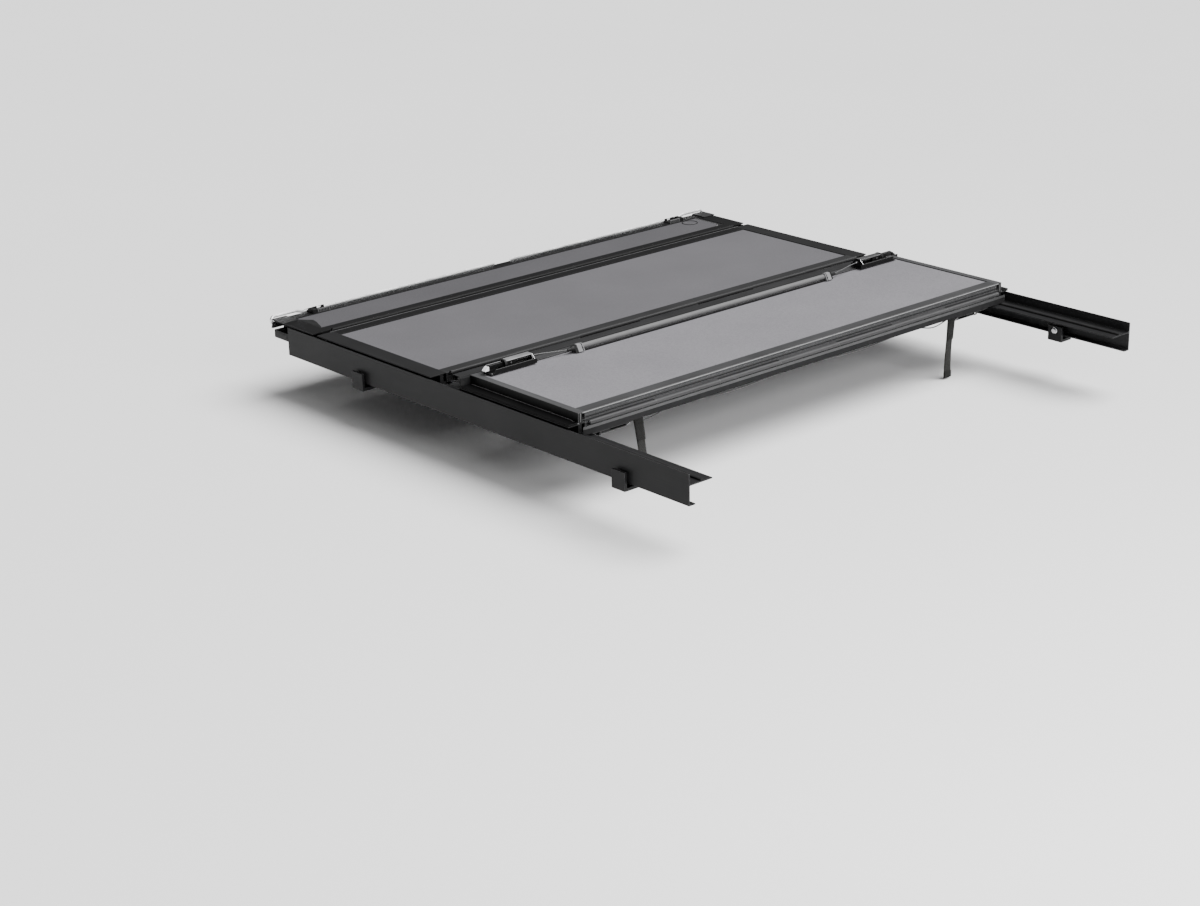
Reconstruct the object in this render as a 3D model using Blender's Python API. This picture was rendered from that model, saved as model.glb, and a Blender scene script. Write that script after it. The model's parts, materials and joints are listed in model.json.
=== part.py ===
"""A hard folding tonneau cover for a pickup bed, shown with its tail panel folded forward.

Four framed panels run from the cab to the tailgate. The front panel is fixed on the header rail.
The second panel hinges on it, the third hinges on the second through a link bar, and the tail
panel hinges on the third. Two side rails carry the panels and clamp to the bed.

Metres. +X is the passenger side, +Y is towards the cab and +Z is up. The origin lies on the
header rail's underside, at the middle of the truck. Every panel is modelled closed; the parts of
the tail panel hang on one empty on its hinge line, which is turned half a turn to fold them.
"""

import math

import bmesh
import bpy
from mathutils import Matrix, Vector

# Driving dimensions of the panels
PANEL_TOP = 0.048
PANEL_THICK = 0.026
SKIN_HALF = 0.7475
SIDE_BAR_WIDTH = 0.0205
FLANGE_REACH = 0.0505
FLANGE_THICK = 0.003
HINGE_BAR_WIDTH = 0.032
FRONT_BAR_WIDTH = 0.030
TAIL_BAR_WIDTH = 0.0258
FRONT_SKIN = 0.1178
SECOND_SKIN = 0.420
THIRD_SKIN = 0.3818
TAIL_SKIN = 0.3427
LIP = 0.0018
CHANNEL = 0.010
GAP = 0.0003

# Hinges
HINGE_GAP = 0.0187
LINK_SPACING = 0.057
PIN_HEIGHT = 0.0005
PIN_RADIUS = 0.002
KNUCKLE_RADIUS = 0.0055
KNUCKLE_BORE = 0.0023
KNUCKLE_SIDES = 10
KNUCKLE_COUNT = 7
KNUCKLE_HALF_SPAN = 0.742
KNUCKLE_PLAY = 0.0006
LEAF_TOP = -0.0025
LEAF_BITE = 0.002

# Rails and header
RAIL_FACE = 0.800
RAIL_WALL = 0.003
LEDGE_EDGE = 0.7275
LEDGE_TOP = 0.016
RAIL_TOP = 0.041
RAIL_FOOT = -0.035
RAIL_REAR = -1.580
HEADER_FRONT = 0.030
HEADER_REAR = -0.035
HEADER_HALF = 0.797
CLAMP_PLACES = (-0.36, -1.36)
CLAMP_LENGTH = 0.045
CLAMP_BOLT_HEIGHT = -0.022
CLAMP_BOLT_RADIUS = 0.0043

# Latches: each lies under a panel, near its free edge, and shoots its bolt outwards
LATCH_INNER = 0.592
LATCH_OUTER = 0.7375
LATCH_HALF = 0.020
LATCH_SHEET = 0.0025
LATCH_LIP = 0.013
COVER_INNER = 0.600
COVER_OUTER = 0.6865
COVER_HALF = 0.014
COVER_SHEET = 0.002
COVER_DEPTH = 0.026
BOLT_TIP = 0.7475
BOLT_HALF = 0.007
BOLT_BEVEL = 0.012
CARRIAGE_INNER = 0.650
CARRIAGE_OUTER = 0.684
CARRIAGE_HALF = 0.0117
THIRD_LATCH_INSET = 0.0285
TAIL_LATCH_INSET = 0.0270

# The cables, the release tube and its clips, and the straps
CABLE_RADIUS = 0.0015
CABLE_HOLE = 0.0022
TUBE_FROM_LATCH = 0.015
TUBE_DEPTH = 0.0095
TUBE_END = 0.470
TUBE_OUTER = 0.007
TUBE_INNER = 0.0055
TUBE_CLIP_PLACE = 0.450
STRAP_WIDTH = 0.028
STRAP_THICK = 0.0018
STRAP_LENGTH = 0.172
STRAP_PLACES = {"left": (-0.5765, -0.5430), "right": (0.5700, 0.5620)}

# Prop rods, stowed along the header, each cranked over its corner cap to a pivot in front of it
ROD_RADIUS = 0.004
ROD_TIP = 0.030
ROD_Y = 0.0375
ROD_Z = 0.0485
CRANK_START = 0.693
CRANK_END = 0.728
CRANK_RISE = 0.0065
HOOK_RADIUS = 0.010
EYE_PLACE = 0.792
EYE_Z = 0.036
EYE_RADIUS = 0.008
EYE_HALF = ROD_RADIUS
SCREW_RADIUS = 0.0026
LUG_FACE = ROD_RADIUS + 0.0004
ROD_LEAN = math.radians(20)
ROD_CLIP_PLACE = 0.662
ROD_CLIP_HALF = 0.0275
ROD_CLIP_BLOCK = 0.015

# Corner caps
CAP_INNER = 0.757
CAP_OUTER = 0.802
CAP_REAR = -0.020
CAP_FRONT = 0.0325
CAP_THICK = 0.0025

# Where each panel begins and ends, from the cab to the tailgate
UNDERSIDE = PANEL_TOP - PANEL_THICK
PIN_Z = PANEL_TOP + PIN_HEIGHT
BODY_HALF = SKIN_HALF + SIDE_BAR_WIDTH
FRONT_START = HEADER_FRONT
FRONT_END = FRONT_START - FRONT_BAR_WIDTH - FRONT_SKIN - HINGE_BAR_WIDTH
FRONT_PIN = FRONT_END - HINGE_GAP / 2
SECOND_START = FRONT_END - HINGE_GAP
SECOND_END = SECOND_START - 2 * HINGE_BAR_WIDTH - SECOND_SKIN
LINK_FRONT_PIN = SECOND_END - HINGE_GAP / 2
LINK_REAR_PIN = LINK_FRONT_PIN - LINK_SPACING
THIRD_START = LINK_REAR_PIN - HINGE_GAP / 2
THIRD_END = THIRD_START - 2 * HINGE_BAR_WIDTH - THIRD_SKIN
TAIL_PIN = THIRD_END - HINGE_GAP / 2
TAIL_START = THIRD_END - HINGE_GAP
TAIL_END = TAIL_START - HINGE_BAR_WIDTH - TAIL_SKIN - TAIL_BAR_WIDTH

# How high the bolts lie when their panels are closed
BOLT_LOW = UNDERSIDE - 0.0225
BOLT_HIGH = UNDERSIDE - 0.0100
BOLT_MIDDLE = (BOLT_LOW + BOLT_HIGH) / 2

# Colour, roughness and metallic value of each material
FINISHES = {
    "charcoal_frame": ((0.060, 0.061, 0.064), 0.45, 0.6),
    "grey_skin": ((0.20, 0.20, 0.21), 0.75, 0.0),
    "rail_aluminium": ((0.10, 0.10, 0.105), 0.40, 0.7),
    "black_rubber": ((0.018, 0.018, 0.018), 0.80, 0.0),
    "black_plastic": ((0.03, 0.03, 0.03), 0.55, 0.0),
    "grey_plastic": ((0.30, 0.30, 0.31), 0.50, 0.0),
    "latch_metal": ((0.12, 0.12, 0.125), 0.40, 0.8),
    "release_tube": ((0.45, 0.45, 0.46), 0.35, 0.9),
    "zinc_steel": ((0.80, 0.80, 0.80), 0.22, 1.0),
    "webbing": ((0.045, 0.045, 0.047), 0.85, 0.0),
}


def clear_scene():
    for item in list(bpy.data.objects):
        bpy.data.objects.remove(item, do_unlink=True)


def make_collection(name):
    collection = bpy.data.collections.new(name)
    bpy.context.scene.collection.children.link(collection)
    return collection


def make_material(name):
    colour, roughness, metallic = FINISHES[name]
    material = bpy.data.materials.new(name)
    material.use_nodes = True
    shader = material.node_tree.nodes["Principled BSDF"]
    shader.inputs["Base Color"].default_value = (*colour, 1.0)
    shader.inputs["Roughness"].default_value = roughness
    shader.inputs["Metallic"].default_value = metallic
    material.diffuse_color = (*colour, 1.0)
    return material


clear_scene()
PARTS = make_collection("tonneau_cover")
CUTTERS = make_collection("cutters")
MATERIALS = {name: make_material(name) for name in FINISHES}

# A profile's flat outline turned so that it is extruded along one axis
TURNS = {
    "X": Matrix(((0, 0, 1), (1, 0, 0), (0, 1, 0))).to_4x4(),
    "Y": Matrix(((1, 0, 0), (0, 0, -1), (0, 1, 0))).to_4x4(),
    "Z": Matrix.Identity(4),
}
AXES = {"X": Vector((1, 0, 0)), "Y": Vector((0, 1, 0)), "Z": Vector((0, 0, 1))}


def arc(centre, radius, start, end, steps):
    """Points on an arc, from one angle to another, in degrees."""
    points = []
    for step in range(steps + 1):
        angle = math.radians(start + (end - start) * step / steps)
        points.append((centre[0] + radius * math.cos(angle), centre[1] + radius * math.sin(angle)))
    return points


def circle(centre, radius, steps):
    return arc(centre, radius, 0, 360, steps)[:-1]


def rectangle(low, high):
    return [(low[0], low[1]), (high[0], low[1]), (high[0], high[1]), (low[0], high[1])]


def mirrored(points):
    return [(-first, second) for first, second in points]


def mesh_object(name, curve_data, place):
    """A curve's closed mesh, with its caps welded, in the parts' collection."""
    curve = bpy.data.objects.new(name + "_curve", curve_data)
    PARTS.objects.link(curve)
    curve.matrix_world = place
    graph = bpy.context.evaluated_depsgraph_get()
    mesh = bpy.data.meshes.new_from_object(curve.evaluated_get(graph))
    bpy.data.objects.remove(curve, do_unlink=True)
    surface = bmesh.new()
    surface.from_mesh(mesh)
    bmesh.ops.remove_doubles(surface, verts=surface.verts, dist=1e-6)
    bmesh.ops.recalc_face_normals(surface, faces=surface.faces)
    surface.to_mesh(mesh)
    surface.free()
    mesh.name = name
    made = bpy.data.objects.new(name, mesh)
    PARTS.objects.link(made)
    made.matrix_world = place
    return made


def extruded(name, loops, low, high, axis):
    """A flat outline, with holes, extruded between two places on an axis."""
    data = bpy.data.curves.new(name, "CURVE")
    data.dimensions = "2D"
    data.fill_mode = "BOTH"
    data.extrude = (high - low) / 2
    for loop in loops:
        spline = data.splines.new("POLY")
        spline.points.add(len(loop) - 1)
        for point, (first, second) in zip(spline.points, loop):
            point.co = (first, second, 0, 1)
        spline.use_cyclic_u = True
    place = Matrix.Translation(AXES[axis] * (high + low) / 2) @ TURNS[axis]
    return mesh_object(name, data, place)


def block(name, low, high):
    """A plain box between two corners."""
    bpy.ops.mesh.primitive_cube_add(size=1)
    made = bpy.context.object
    made.name = name
    middle = (Vector(low) + Vector(high)) / 2
    size = Vector(high) - Vector(low)
    made.data.transform(Matrix.Diagonal((*size, 1)))
    made.location = middle
    move_to(made, PARTS)
    return made


def rod(name, start, end, radius, sides=16):
    """A cylinder between two points."""
    start = Vector(start)
    end = Vector(end)
    bpy.ops.mesh.primitive_cylinder_add(vertices=sides, radius=radius, depth=(end - start).length)
    made = bpy.context.object
    made.name = name
    made.location = (start + end) / 2
    made.rotation_mode = "QUATERNION"
    made.rotation_quaternion = (end - start).to_track_quat("Z", "Y")
    move_to(made, PARTS)
    return made


def wire(name, points, radius, resolution):
    """A round wire along a list of points, with filled ends."""
    data = bpy.data.curves.new(name, "CURVE")
    data.dimensions = "3D"
    data.bevel_depth = radius
    data.bevel_resolution = resolution
    data.use_fill_caps = True
    spline = data.splines.new("POLY")
    spline.points.add(len(points) - 1)
    for point, place in zip(spline.points, points):
        point.co = (*place, 1)
    return mesh_object(name, data, Matrix.Identity(4))


def move_to(item, collection):
    for current in list(item.users_collection):
        current.objects.unlink(item)
    collection.objects.link(item)


def combine(target, tool, operation):
    """Joins a tool to a target, or cuts it out, and hides the tool."""
    move_to(tool, CUTTERS)
    tool.hide_render = True
    tool.display_type = "WIRE"
    modifier = target.modifiers.new(tool.name, "BOOLEAN")
    modifier.operation = operation
    modifier.solver = "EXACT"
    modifier.object = tool


def joined(target, tool):
    combine(target, tool, "UNION")


def cut(target, tool):
    combine(target, tool, "DIFFERENCE")


def finish(item, material, parent=None, smooth=False):
    """Gives a part its material and its parent, keeping its place."""
    item.data.materials.clear()
    item.data.materials.append(MATERIALS[material])
    if smooth:
        item.data.shade_smooth()
        item.data.set_sharp_from_angle(angle=math.radians(35))
    if parent:
        hang(item, parent)
        for modifier in item.modifiers:
            hang(modifier.object, parent)
    return item


def hang(item, parent):
    item.parent = parent
    item.matrix_parent_inverse = Matrix.Translation(parent.location).inverted()


def joint_axis(name, place):
    """An empty on a joint's axis, for the parts that turn or slide with it."""
    empty = bpy.data.objects.new(name, None)
    empty.empty_display_size = 0.05
    empty.location = place
    PARTS.objects.link(empty)
    return empty


# Panels


def hinge_bar_loops(face, inward, width):
    """A framing bar's section: an outer face with two grooves, a channel for the board, a chamber."""
    chamfer = 0.0008
    groove = 0.0012
    top = PANEL_THICK
    outline = [
        (chamfer, 0),
        (width, 0),
        (width, LIP),
        (width - CHANNEL, LIP),
        (width - CHANNEL, top - LIP),
        (width, top - LIP),
        (width, top),
        (chamfer, top),
        (0, top - chamfer),
        (0, 0.0165),
        (groove, 0.0165),
        (groove, 0.0145),
        (0, 0.0145),
        (0, 0.0095),
        (groove, 0.0095),
        (groove, 0.0075),
        (0, 0.0075),
        (0, chamfer),
    ]
    wall = 0.003
    chamber = rectangle((wall + groove, wall), (width - CHANNEL - wall, top - wall))
    loops = [outline, chamber]
    return [[(face + inward * u, UNDERSIDE + v) for u, v in loop] for loop in loops]


def side_bar_loops(side):
    """A side bar's section: a channel for the board, and a flange that reaches over the bed rail."""
    top = PANEL_THICK
    edge = 0.001
    outline = [
        (0, 0),
        (SIDE_BAR_WIDTH - edge, 0),
        (SIDE_BAR_WIDTH, edge),
        (SIDE_BAR_WIDTH, top - FLANGE_THICK),
        (FLANGE_REACH - edge, top - FLANGE_THICK),
        (FLANGE_REACH, top - FLANGE_THICK + edge),
        (FLANGE_REACH, top - edge),
        (FLANGE_REACH - edge, top),
        (0, top),
        (0, top - LIP),
        (CHANNEL, top - LIP),
        (CHANNEL, LIP),
        (0, LIP),
    ]
    return [[(side * (SKIN_HALF + u), UNDERSIDE + v) for u, v in outline]]


def knuckle_loops(pin, toward):
    """A hinge knuckle's section: a bored barrel on a leaf that runs to the bar."""
    start = math.degrees(math.asin(LEAF_TOP / KNUCKLE_RADIUS))
    reach = HINGE_GAP / 2 + LEAF_BITE
    barrel = arc((0, 0), KNUCKLE_RADIUS, start, 270, 13)
    outline = [(reach, -KNUCKLE_RADIUS), (reach, LEAF_TOP)] + barrel
    bore = circle((0, 0), KNUCKLE_BORE, KNUCKLE_SIDES)
    return [[(pin + toward * u, PIN_Z + v) for u, v in loop] for loop in (outline, bore)]


def add_knuckles(bar, pin, toward, first):
    """Joins every second knuckle of a hinge to its bar, beginning with the first or the second."""
    pitch = 2 * KNUCKLE_HALF_SPAN / KNUCKLE_COUNT
    for index in range(first, KNUCKLE_COUNT, 2):
        low = -KNUCKLE_HALF_SPAN + index * pitch + KNUCKLE_PLAY / 2
        high = low + pitch - KNUCKLE_PLAY
        name = f"{bar.name}_knuckle_{pin:.3f}_{index}"
        joined(bar, extruded(name, knuckle_loops(pin, toward), low, high, "X"))


def hinge_pin(name, pin, parent=None):
    end = KNUCKLE_HALF_SPAN
    made = rod(name, (-end, pin, PIN_Z), (end, pin, PIN_Z), PIN_RADIUS, 12)
    finish(made, "zinc_steel", parent, smooth=True)


def cross_bar(name, face, inward, width):
    end = SKIN_HALF - GAP
    return extruded(name, hinge_bar_loops(face, inward, width), -end, end, "X")


def side_bars(panel, start, end, parent=None):
    for side, word in ((-1, "left"), (1, "right")):
        bar = extruded(f"{panel}_{word}_bar", side_bar_loops(side), end, start, "Y")
        finish(bar, "charcoal_frame", parent)


def board(name, start, end, parent=None):
    """The composite board between two bars, held in the channels all round."""
    hold = CHANNEL - 2 * GAP
    low = (-SKIN_HALF - hold, end - hold, UNDERSIDE + LIP + GAP)
    high = (SKIN_HALF + hold, start + hold, PANEL_TOP - LIP - GAP)
    finish(block(name, low, high), "grey_skin", parent)


def front_panel():
    """The fixed panel: one frame, welded at its corners, round a board."""
    half = SKIN_HALF + FLANGE_REACH
    skin_front = FRONT_START - FRONT_BAR_WIDTH
    skin_rear = FRONT_END + HINGE_BAR_WIDTH
    loops = [
        rectangle((-half, FRONT_END), (half, FRONT_START)),
        rectangle((-SKIN_HALF, skin_rear), (SKIN_HALF, skin_front)),
    ]
    frame = extruded("front_panel_frame", loops, UNDERSIDE, PANEL_TOP, "Z")
    low = (-SKIN_HALF - CHANNEL, skin_rear - CHANNEL, UNDERSIDE + LIP)
    high = (SKIN_HALF + CHANNEL, skin_front + CHANNEL, PANEL_TOP - LIP)
    cut(frame, block("front_panel_channel", low, high))
    over = 0.01
    for side in (-1, 1):
        ends = sorted((side * BODY_HALF, side * (half + over)))
        low = (ends[0], FRONT_END - over, UNDERSIDE - over)
        high = (ends[1], FRONT_START + over, PANEL_TOP - FLANGE_THICK)
        cut(frame, block(f"front_panel_flange_{side}", low, high))
    add_knuckles(frame, FRONT_PIN, 1, 0)
    finish(frame, "charcoal_frame")
    board("front_panel_board", skin_front, skin_rear)
    hinge_pin("front_hinge_pin", FRONT_PIN)


def second_panel(axis):
    front = cross_bar("second_panel_front_bar", SECOND_START, -1, HINGE_BAR_WIDTH)
    add_knuckles(front, FRONT_PIN, -1, 1)
    finish(front, "charcoal_frame", axis)
    rear = cross_bar("second_panel_rear_bar", SECOND_END, 1, HINGE_BAR_WIDTH)
    add_knuckles(rear, LINK_FRONT_PIN, 1, 0)
    finish(rear, "charcoal_frame", axis)
    side_bars("second_panel", SECOND_START, SECOND_END, axis)
    board("second_panel_board", SECOND_START - HINGE_BAR_WIDTH, SECOND_END + HINGE_BAR_WIDTH, axis)
    hinge_pin("link_front_pin", LINK_FRONT_PIN, axis)


def link(axis):
    """The bar between the second and third panels, wide enough to fold round the tail panel."""
    inset = HINGE_GAP / 2
    depth = 0.012
    low = LINK_REAR_PIN + inset
    high = LINK_FRONT_PIN - inset
    top = PIN_Z + LEAF_TOP
    edge = 0.001
    wall = 0.0025
    outline = [
        (low + edge, top - depth),
        (high - edge, top - depth),
        (high, top - depth + edge),
        (high, top),
        (low, top),
        (low, top - depth + edge),
    ]
    chamber = rectangle((low + wall + LEAF_BITE, top - depth + wall), (high - wall - LEAF_BITE, top - wall))
    bar = extruded("link_bar", [outline, chamber], -KNUCKLE_HALF_SPAN, KNUCKLE_HALF_SPAN, "X")
    add_knuckles(bar, LINK_FRONT_PIN, -1, 1)
    add_knuckles(bar, LINK_REAR_PIN, 1, 1)
    finish(bar, "charcoal_frame", axis)


def third_panel(axis):
    front = cross_bar("third_panel_front_bar", THIRD_START, -1, HINGE_BAR_WIDTH)
    add_knuckles(front, LINK_REAR_PIN, -1, 0)
    finish(front, "charcoal_frame", axis)
    rear = cross_bar("third_panel_rear_bar", THIRD_END, 1, HINGE_BAR_WIDTH)
    add_knuckles(rear, TAIL_PIN, 1, 0)
    finish(rear, "charcoal_frame", axis)
    side_bars("third_panel", THIRD_START, THIRD_END, axis)
    board("third_panel_board", THIRD_START - HINGE_BAR_WIDTH, THIRD_END + HINGE_BAR_WIDTH, axis)
    hinge_pin("link_rear_pin", LINK_REAR_PIN, axis)
    hinge_pin("tail_hinge_pin", TAIL_PIN, axis)


def tail_panel(axis):
    front = cross_bar("tail_panel_front_bar", TAIL_START, -1, HINGE_BAR_WIDTH)
    add_knuckles(front, TAIL_PIN, -1, 1)
    finish(front, "charcoal_frame", axis)
    finish(cross_bar("tail_panel_rear_bar", TAIL_END, 1, TAIL_BAR_WIDTH), "charcoal_frame", axis)
    side_bars("tail_panel", TAIL_START, TAIL_END, axis)
    board("tail_panel_board", TAIL_START - HINGE_BAR_WIDTH, TAIL_END + TAIL_BAR_WIDTH, axis)
    tail_seal(axis)


def tail_seal(axis):
    """A rubber strip on the tail panel's free edge, whose lip slopes down over the tailgate."""
    root = TAIL_END - GAP
    pad = 0.004
    lip_reach = 0.0145
    lip_thick = 0.003
    high = PANEL_TOP - 0.003
    low = PANEL_TOP - 0.022
    outline = [
        (root, high),
        (root - pad, high),
        (root - lip_reach, low + lip_thick),
        (root - lip_reach, low),
        (root - lip_reach + lip_thick, low),
        (root - pad, high - 0.009),
        (root - pad, low),
        (root, low),
    ]
    seal = extruded("tail_seal", [outline], -HEADER_HALF, HEADER_HALF, "X")
    finish(seal, "black_rubber", axis)


# Latches


def latch_housing(name, side, mid, axis):
    """A lipped base plate with a channel-shaped cover over the bolt, and an end wall for the spring."""
    floor = UNDERSIDE - COVER_DEPTH
    top = UNDERSIDE - GAP
    bite = 0.001
    leg_top = top - LATCH_SHEET + bite
    corner = 0.003
    outline = [
        (mid - COVER_HALF, leg_top),
        (mid - COVER_HALF, floor + corner),
        (mid - COVER_HALF + corner, floor),
        (mid + COVER_HALF - corner, floor),
        (mid + COVER_HALF, floor + corner),
        (mid + COVER_HALF, leg_top),
        (mid + COVER_HALF - COVER_SHEET, leg_top),
        (mid + COVER_HALF - COVER_SHEET, floor + COVER_SHEET),
        (mid - COVER_HALF + COVER_SHEET, floor + COVER_SHEET),
        (mid - COVER_HALF + COVER_SHEET, leg_top),
    ]
    ends = sorted((side * COVER_INNER, side * COVER_OUTER))
    housing = extruded(name, [outline], ends[0], ends[1], "X")
    ends = sorted((side * LATCH_INNER, side * LATCH_OUTER))
    plate = rectangle((ends[0], mid - LATCH_HALF), (ends[1], mid + LATCH_HALF))
    joined(housing, extruded(name + "_plate", [plate], top - LATCH_SHEET, top, "Z"))
    for edge in (-1, 1):
        add_latch_lip(housing, side, mid, edge)
    ends = sorted((side * COVER_INNER, side * (COVER_INNER + COVER_SHEET)))
    low = (ends[0], mid - COVER_HALF + bite, floor + bite)
    high = (ends[1], mid + COVER_HALF - bite, leg_top)
    joined(housing, block(name + "_end", low, high))
    start = (side * (COVER_INNER - COVER_SHEET), mid, BOLT_MIDDLE)
    end = (side * (COVER_INNER + 2 * COVER_SHEET), mid, BOLT_MIDDLE)
    cut(housing, rod(name + "_hole", start, end, CABLE_HOLE, 12))
    finish(housing, "latch_metal", axis)


def add_latch_lip(housing, side, mid, edge):
    """A lip along one long edge of a latch's plate, which stops short of the rail's ledge."""
    clear = 0.0015
    round_off = 0.003
    low = UNDERSIDE - LATCH_LIP
    plate_low = UNDERSIDE - GAP - LATCH_SHEET
    over = 0.001
    outline = [
        (LATCH_INNER, plate_low + over),
        (LATCH_INNER, low + round_off),
        (LATCH_INNER + round_off, low),
        (LEDGE_EDGE - 2 * clear, low),
        (LEDGE_EDGE - clear, LEDGE_TOP),
        (LATCH_OUTER, plate_low),
        (LATCH_OUTER, plate_low + over),
    ]
    outline = [(side * x, z) for x, z in outline]
    faces = sorted((mid + edge * LATCH_HALF, mid + edge * (LATCH_HALF - LATCH_SHEET)))
    joined(housing, extruded(f"{housing.name}_lip_{edge}", [outline], faces[0], faces[1], "Y"))


def latch_bolt(name, side, mid, axis):
    """A sprung bolt: a carriage that runs in the cover, and a nose with a bevelled tip."""
    bite = 0.002
    tip_edge = 0.002
    nose = [
        (CARRIAGE_OUTER - bite, BOLT_LOW),
        (BOLT_TIP - BOLT_BEVEL, BOLT_LOW),
        (BOLT_TIP, BOLT_HIGH - tip_edge),
        (BOLT_TIP, BOLT_HIGH),
        (CARRIAGE_OUTER - bite, BOLT_HIGH),
    ]
    nose = [(side * x, z) for x, z in nose]
    bolt = extruded(name, [nose], mid - BOLT_HALF, mid + BOLT_HALF, "Y")
    ends = sorted((side * CARRIAGE_INNER, side * CARRIAGE_OUTER))
    carriage = rectangle((ends[0], mid - CARRIAGE_HALF), (ends[1], mid + CARRIAGE_HALF))
    joined(bolt, extruded(name + "_carriage", [carriage], BOLT_LOW, BOLT_HIGH, "Z"))
    finish(bolt, "zinc_steel", axis)


def latch_spring(name, side, mid, axis):
    """A compression spring between the cover's end wall and the bolt's carriage."""
    coil_radius = 0.0034
    wire_radius = 0.0006
    turns = 7
    per_turn = 8
    start = COVER_INNER + COVER_SHEET + GAP + wire_radius
    end = CARRIAGE_INNER - GAP - wire_radius
    points = []
    for step in range(turns * per_turn + 1):
        share = step / (turns * per_turn)
        angle = 2 * math.pi * turns * share
        x = start + (end - start) * share
        y = mid + coil_radius * math.cos(angle)
        z = BOLT_MIDDLE + coil_radius * math.sin(angle)
        points.append((side * x, y, z))
    finish(wire(name, points, wire_radius, 1), "zinc_steel", axis, smooth=True)


def latch_pair(panel, mid, axis):
    """A latch at each side of a panel: its housing, its spring and its bolt."""
    for side, word in ((-1, "left"), (1, "right")):
        latch_housing(f"{panel}_{word}_latch_housing", side, mid, axis)
        latch_spring(f"{panel}_{word}_latch_spring", side, mid, axis)
        latch_bolt(f"{panel}_{word}_latch_bolt", side, mid, axis)


def smooth_step(share):
    share = min(max(share, 0), 1)
    return share * share * (3 - 2 * share)


def tail_release(latch, axis):
    """The release tube across the tail panel, its two clips, and the cable that runs through it."""
    mid = latch + TUBE_FROM_LATCH
    height = UNDERSIDE - TUBE_DEPTH
    rings = [circle((mid, height), TUBE_OUTER, 20), circle((mid, height), TUBE_INNER, 20)]
    finish(extruded("release_tube", rings, -TUBE_END, TUBE_END, "X"), "release_tube", axis, smooth=True)
    clip_half_x = 0.013
    clip_half_y = 0.012
    foot = height - 0.010
    for side, word in ((-1, "left"), (1, "right")):
        outline = rectangle((mid - clip_half_y, foot), (mid + clip_half_y, UNDERSIDE - GAP))
        hole = circle((mid, height), TUBE_OUTER + GAP, 20)
        low = side * TUBE_CLIP_PLACE - clip_half_x
        high = side * TUBE_CLIP_PLACE + clip_half_x
        clip = extruded(f"release_tube_{word}_clip", [outline, hole], low, high, "X")
        finish(clip, "black_plastic", axis)
    cable_end = COVER_INNER - GAP
    steps = 36
    points = []
    for step in range(steps + 1):
        x = -cable_end + 2 * cable_end * step / steps
        share = smooth_step((abs(x) - TUBE_END) / (cable_end - TUBE_END))
        y = mid + (latch - mid) * share
        z = height + (BOLT_MIDDLE - height) * share
        points.append((x, y, z))
    finish(wire("tail_release_cable", points, CABLE_RADIUS, 2), "black_rubber", axis, smooth=True)


def third_release(latch, axis):
    """The release cable under the third panel, which droops between its holds."""
    cable_end = COVER_INNER - GAP
    hold = 0.450
    outer_droop = 0.012
    inner_droop = 0.008
    steps = 60
    points = []
    for step in range(steps + 1):
        x = -cable_end + 2 * cable_end * step / steps
        if abs(x) > hold:
            share = (abs(x) - hold) / (cable_end - hold)
            droop = outer_droop
        else:
            share = abs(x) / hold
            droop = inner_droop
        z = BOLT_MIDDLE - droop * math.sin(math.pi * share) ** 2
        points.append((x, latch, z))
    finish(wire("third_release_cable", points, CABLE_RADIUS, 2), "black_rubber", axis, smooth=True)


def pull_straps(axis):
    """Two webbing straps, which hang from under the third panel's rear bar; one leans inwards."""
    mid = THIRD_END + 0.0085
    top = UNDERSIDE - GAP
    half = STRAP_WIDTH / 2
    for word, (top_place, bottom_place) in STRAP_PLACES.items():
        outline = [
            (bottom_place - half, top - STRAP_LENGTH),
            (bottom_place + half, top - STRAP_LENGTH),
            (top_place + half, top),
            (top_place - half, top),
        ]
        low = mid - STRAP_THICK / 2
        high = mid + STRAP_THICK / 2
        finish(extruded(f"{word}_pull_strap", [outline], low, high, "Y"), "webbing", axis)


# Rails, header and clamps


def side_rail(side, word):
    """An aluminium rail inside the bed: a ledge, a wall against the bed, and a foot."""
    inner = RAIL_FACE - RAIL_WALL
    foot_edge = RAIL_FACE - 0.020
    outline = [
        (LEDGE_EDGE, LEDGE_TOP - RAIL_WALL),
        (inner, LEDGE_TOP - RAIL_WALL),
        (inner, RAIL_FOOT + RAIL_WALL),
        (foot_edge, RAIL_FOOT + RAIL_WALL),
        (foot_edge, RAIL_FOOT),
        (RAIL_FACE, RAIL_FOOT),
        (RAIL_FACE, RAIL_TOP),
        (inner, RAIL_TOP),
        (inner, LEDGE_TOP),
        (LEDGE_EDGE, LEDGE_TOP),
    ]
    if side < 0:
        outline = mirrored(outline)
    front = HEADER_REAR - GAP
    finish(extruded(f"{word}_side_rail", [outline], RAIL_REAR, front, "Y"), "rail_aluminium")


def rail_seal(side, word):
    """A rubber bulb on the rail's ledge, under the panels' side bars."""
    middle = 0.758
    half = 0.006
    low = LEDGE_TOP + GAP
    high = UNDERSIDE - GAP
    shoulder = (low + high) / 2
    dome = [(middle + half * math.cos(a), shoulder + (high - shoulder) * math.sin(a))
            for a in (math.radians(20 * step) for step in range(10))]
    outline = [(middle - half, low), (middle + half, low)] + dome
    if side < 0:
        outline = mirrored(outline)
    finish(extruded(f"{word}_rail_seal", [outline], RAIL_REAR, HEADER_REAR - GAP, "Y"), "black_rubber")


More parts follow.
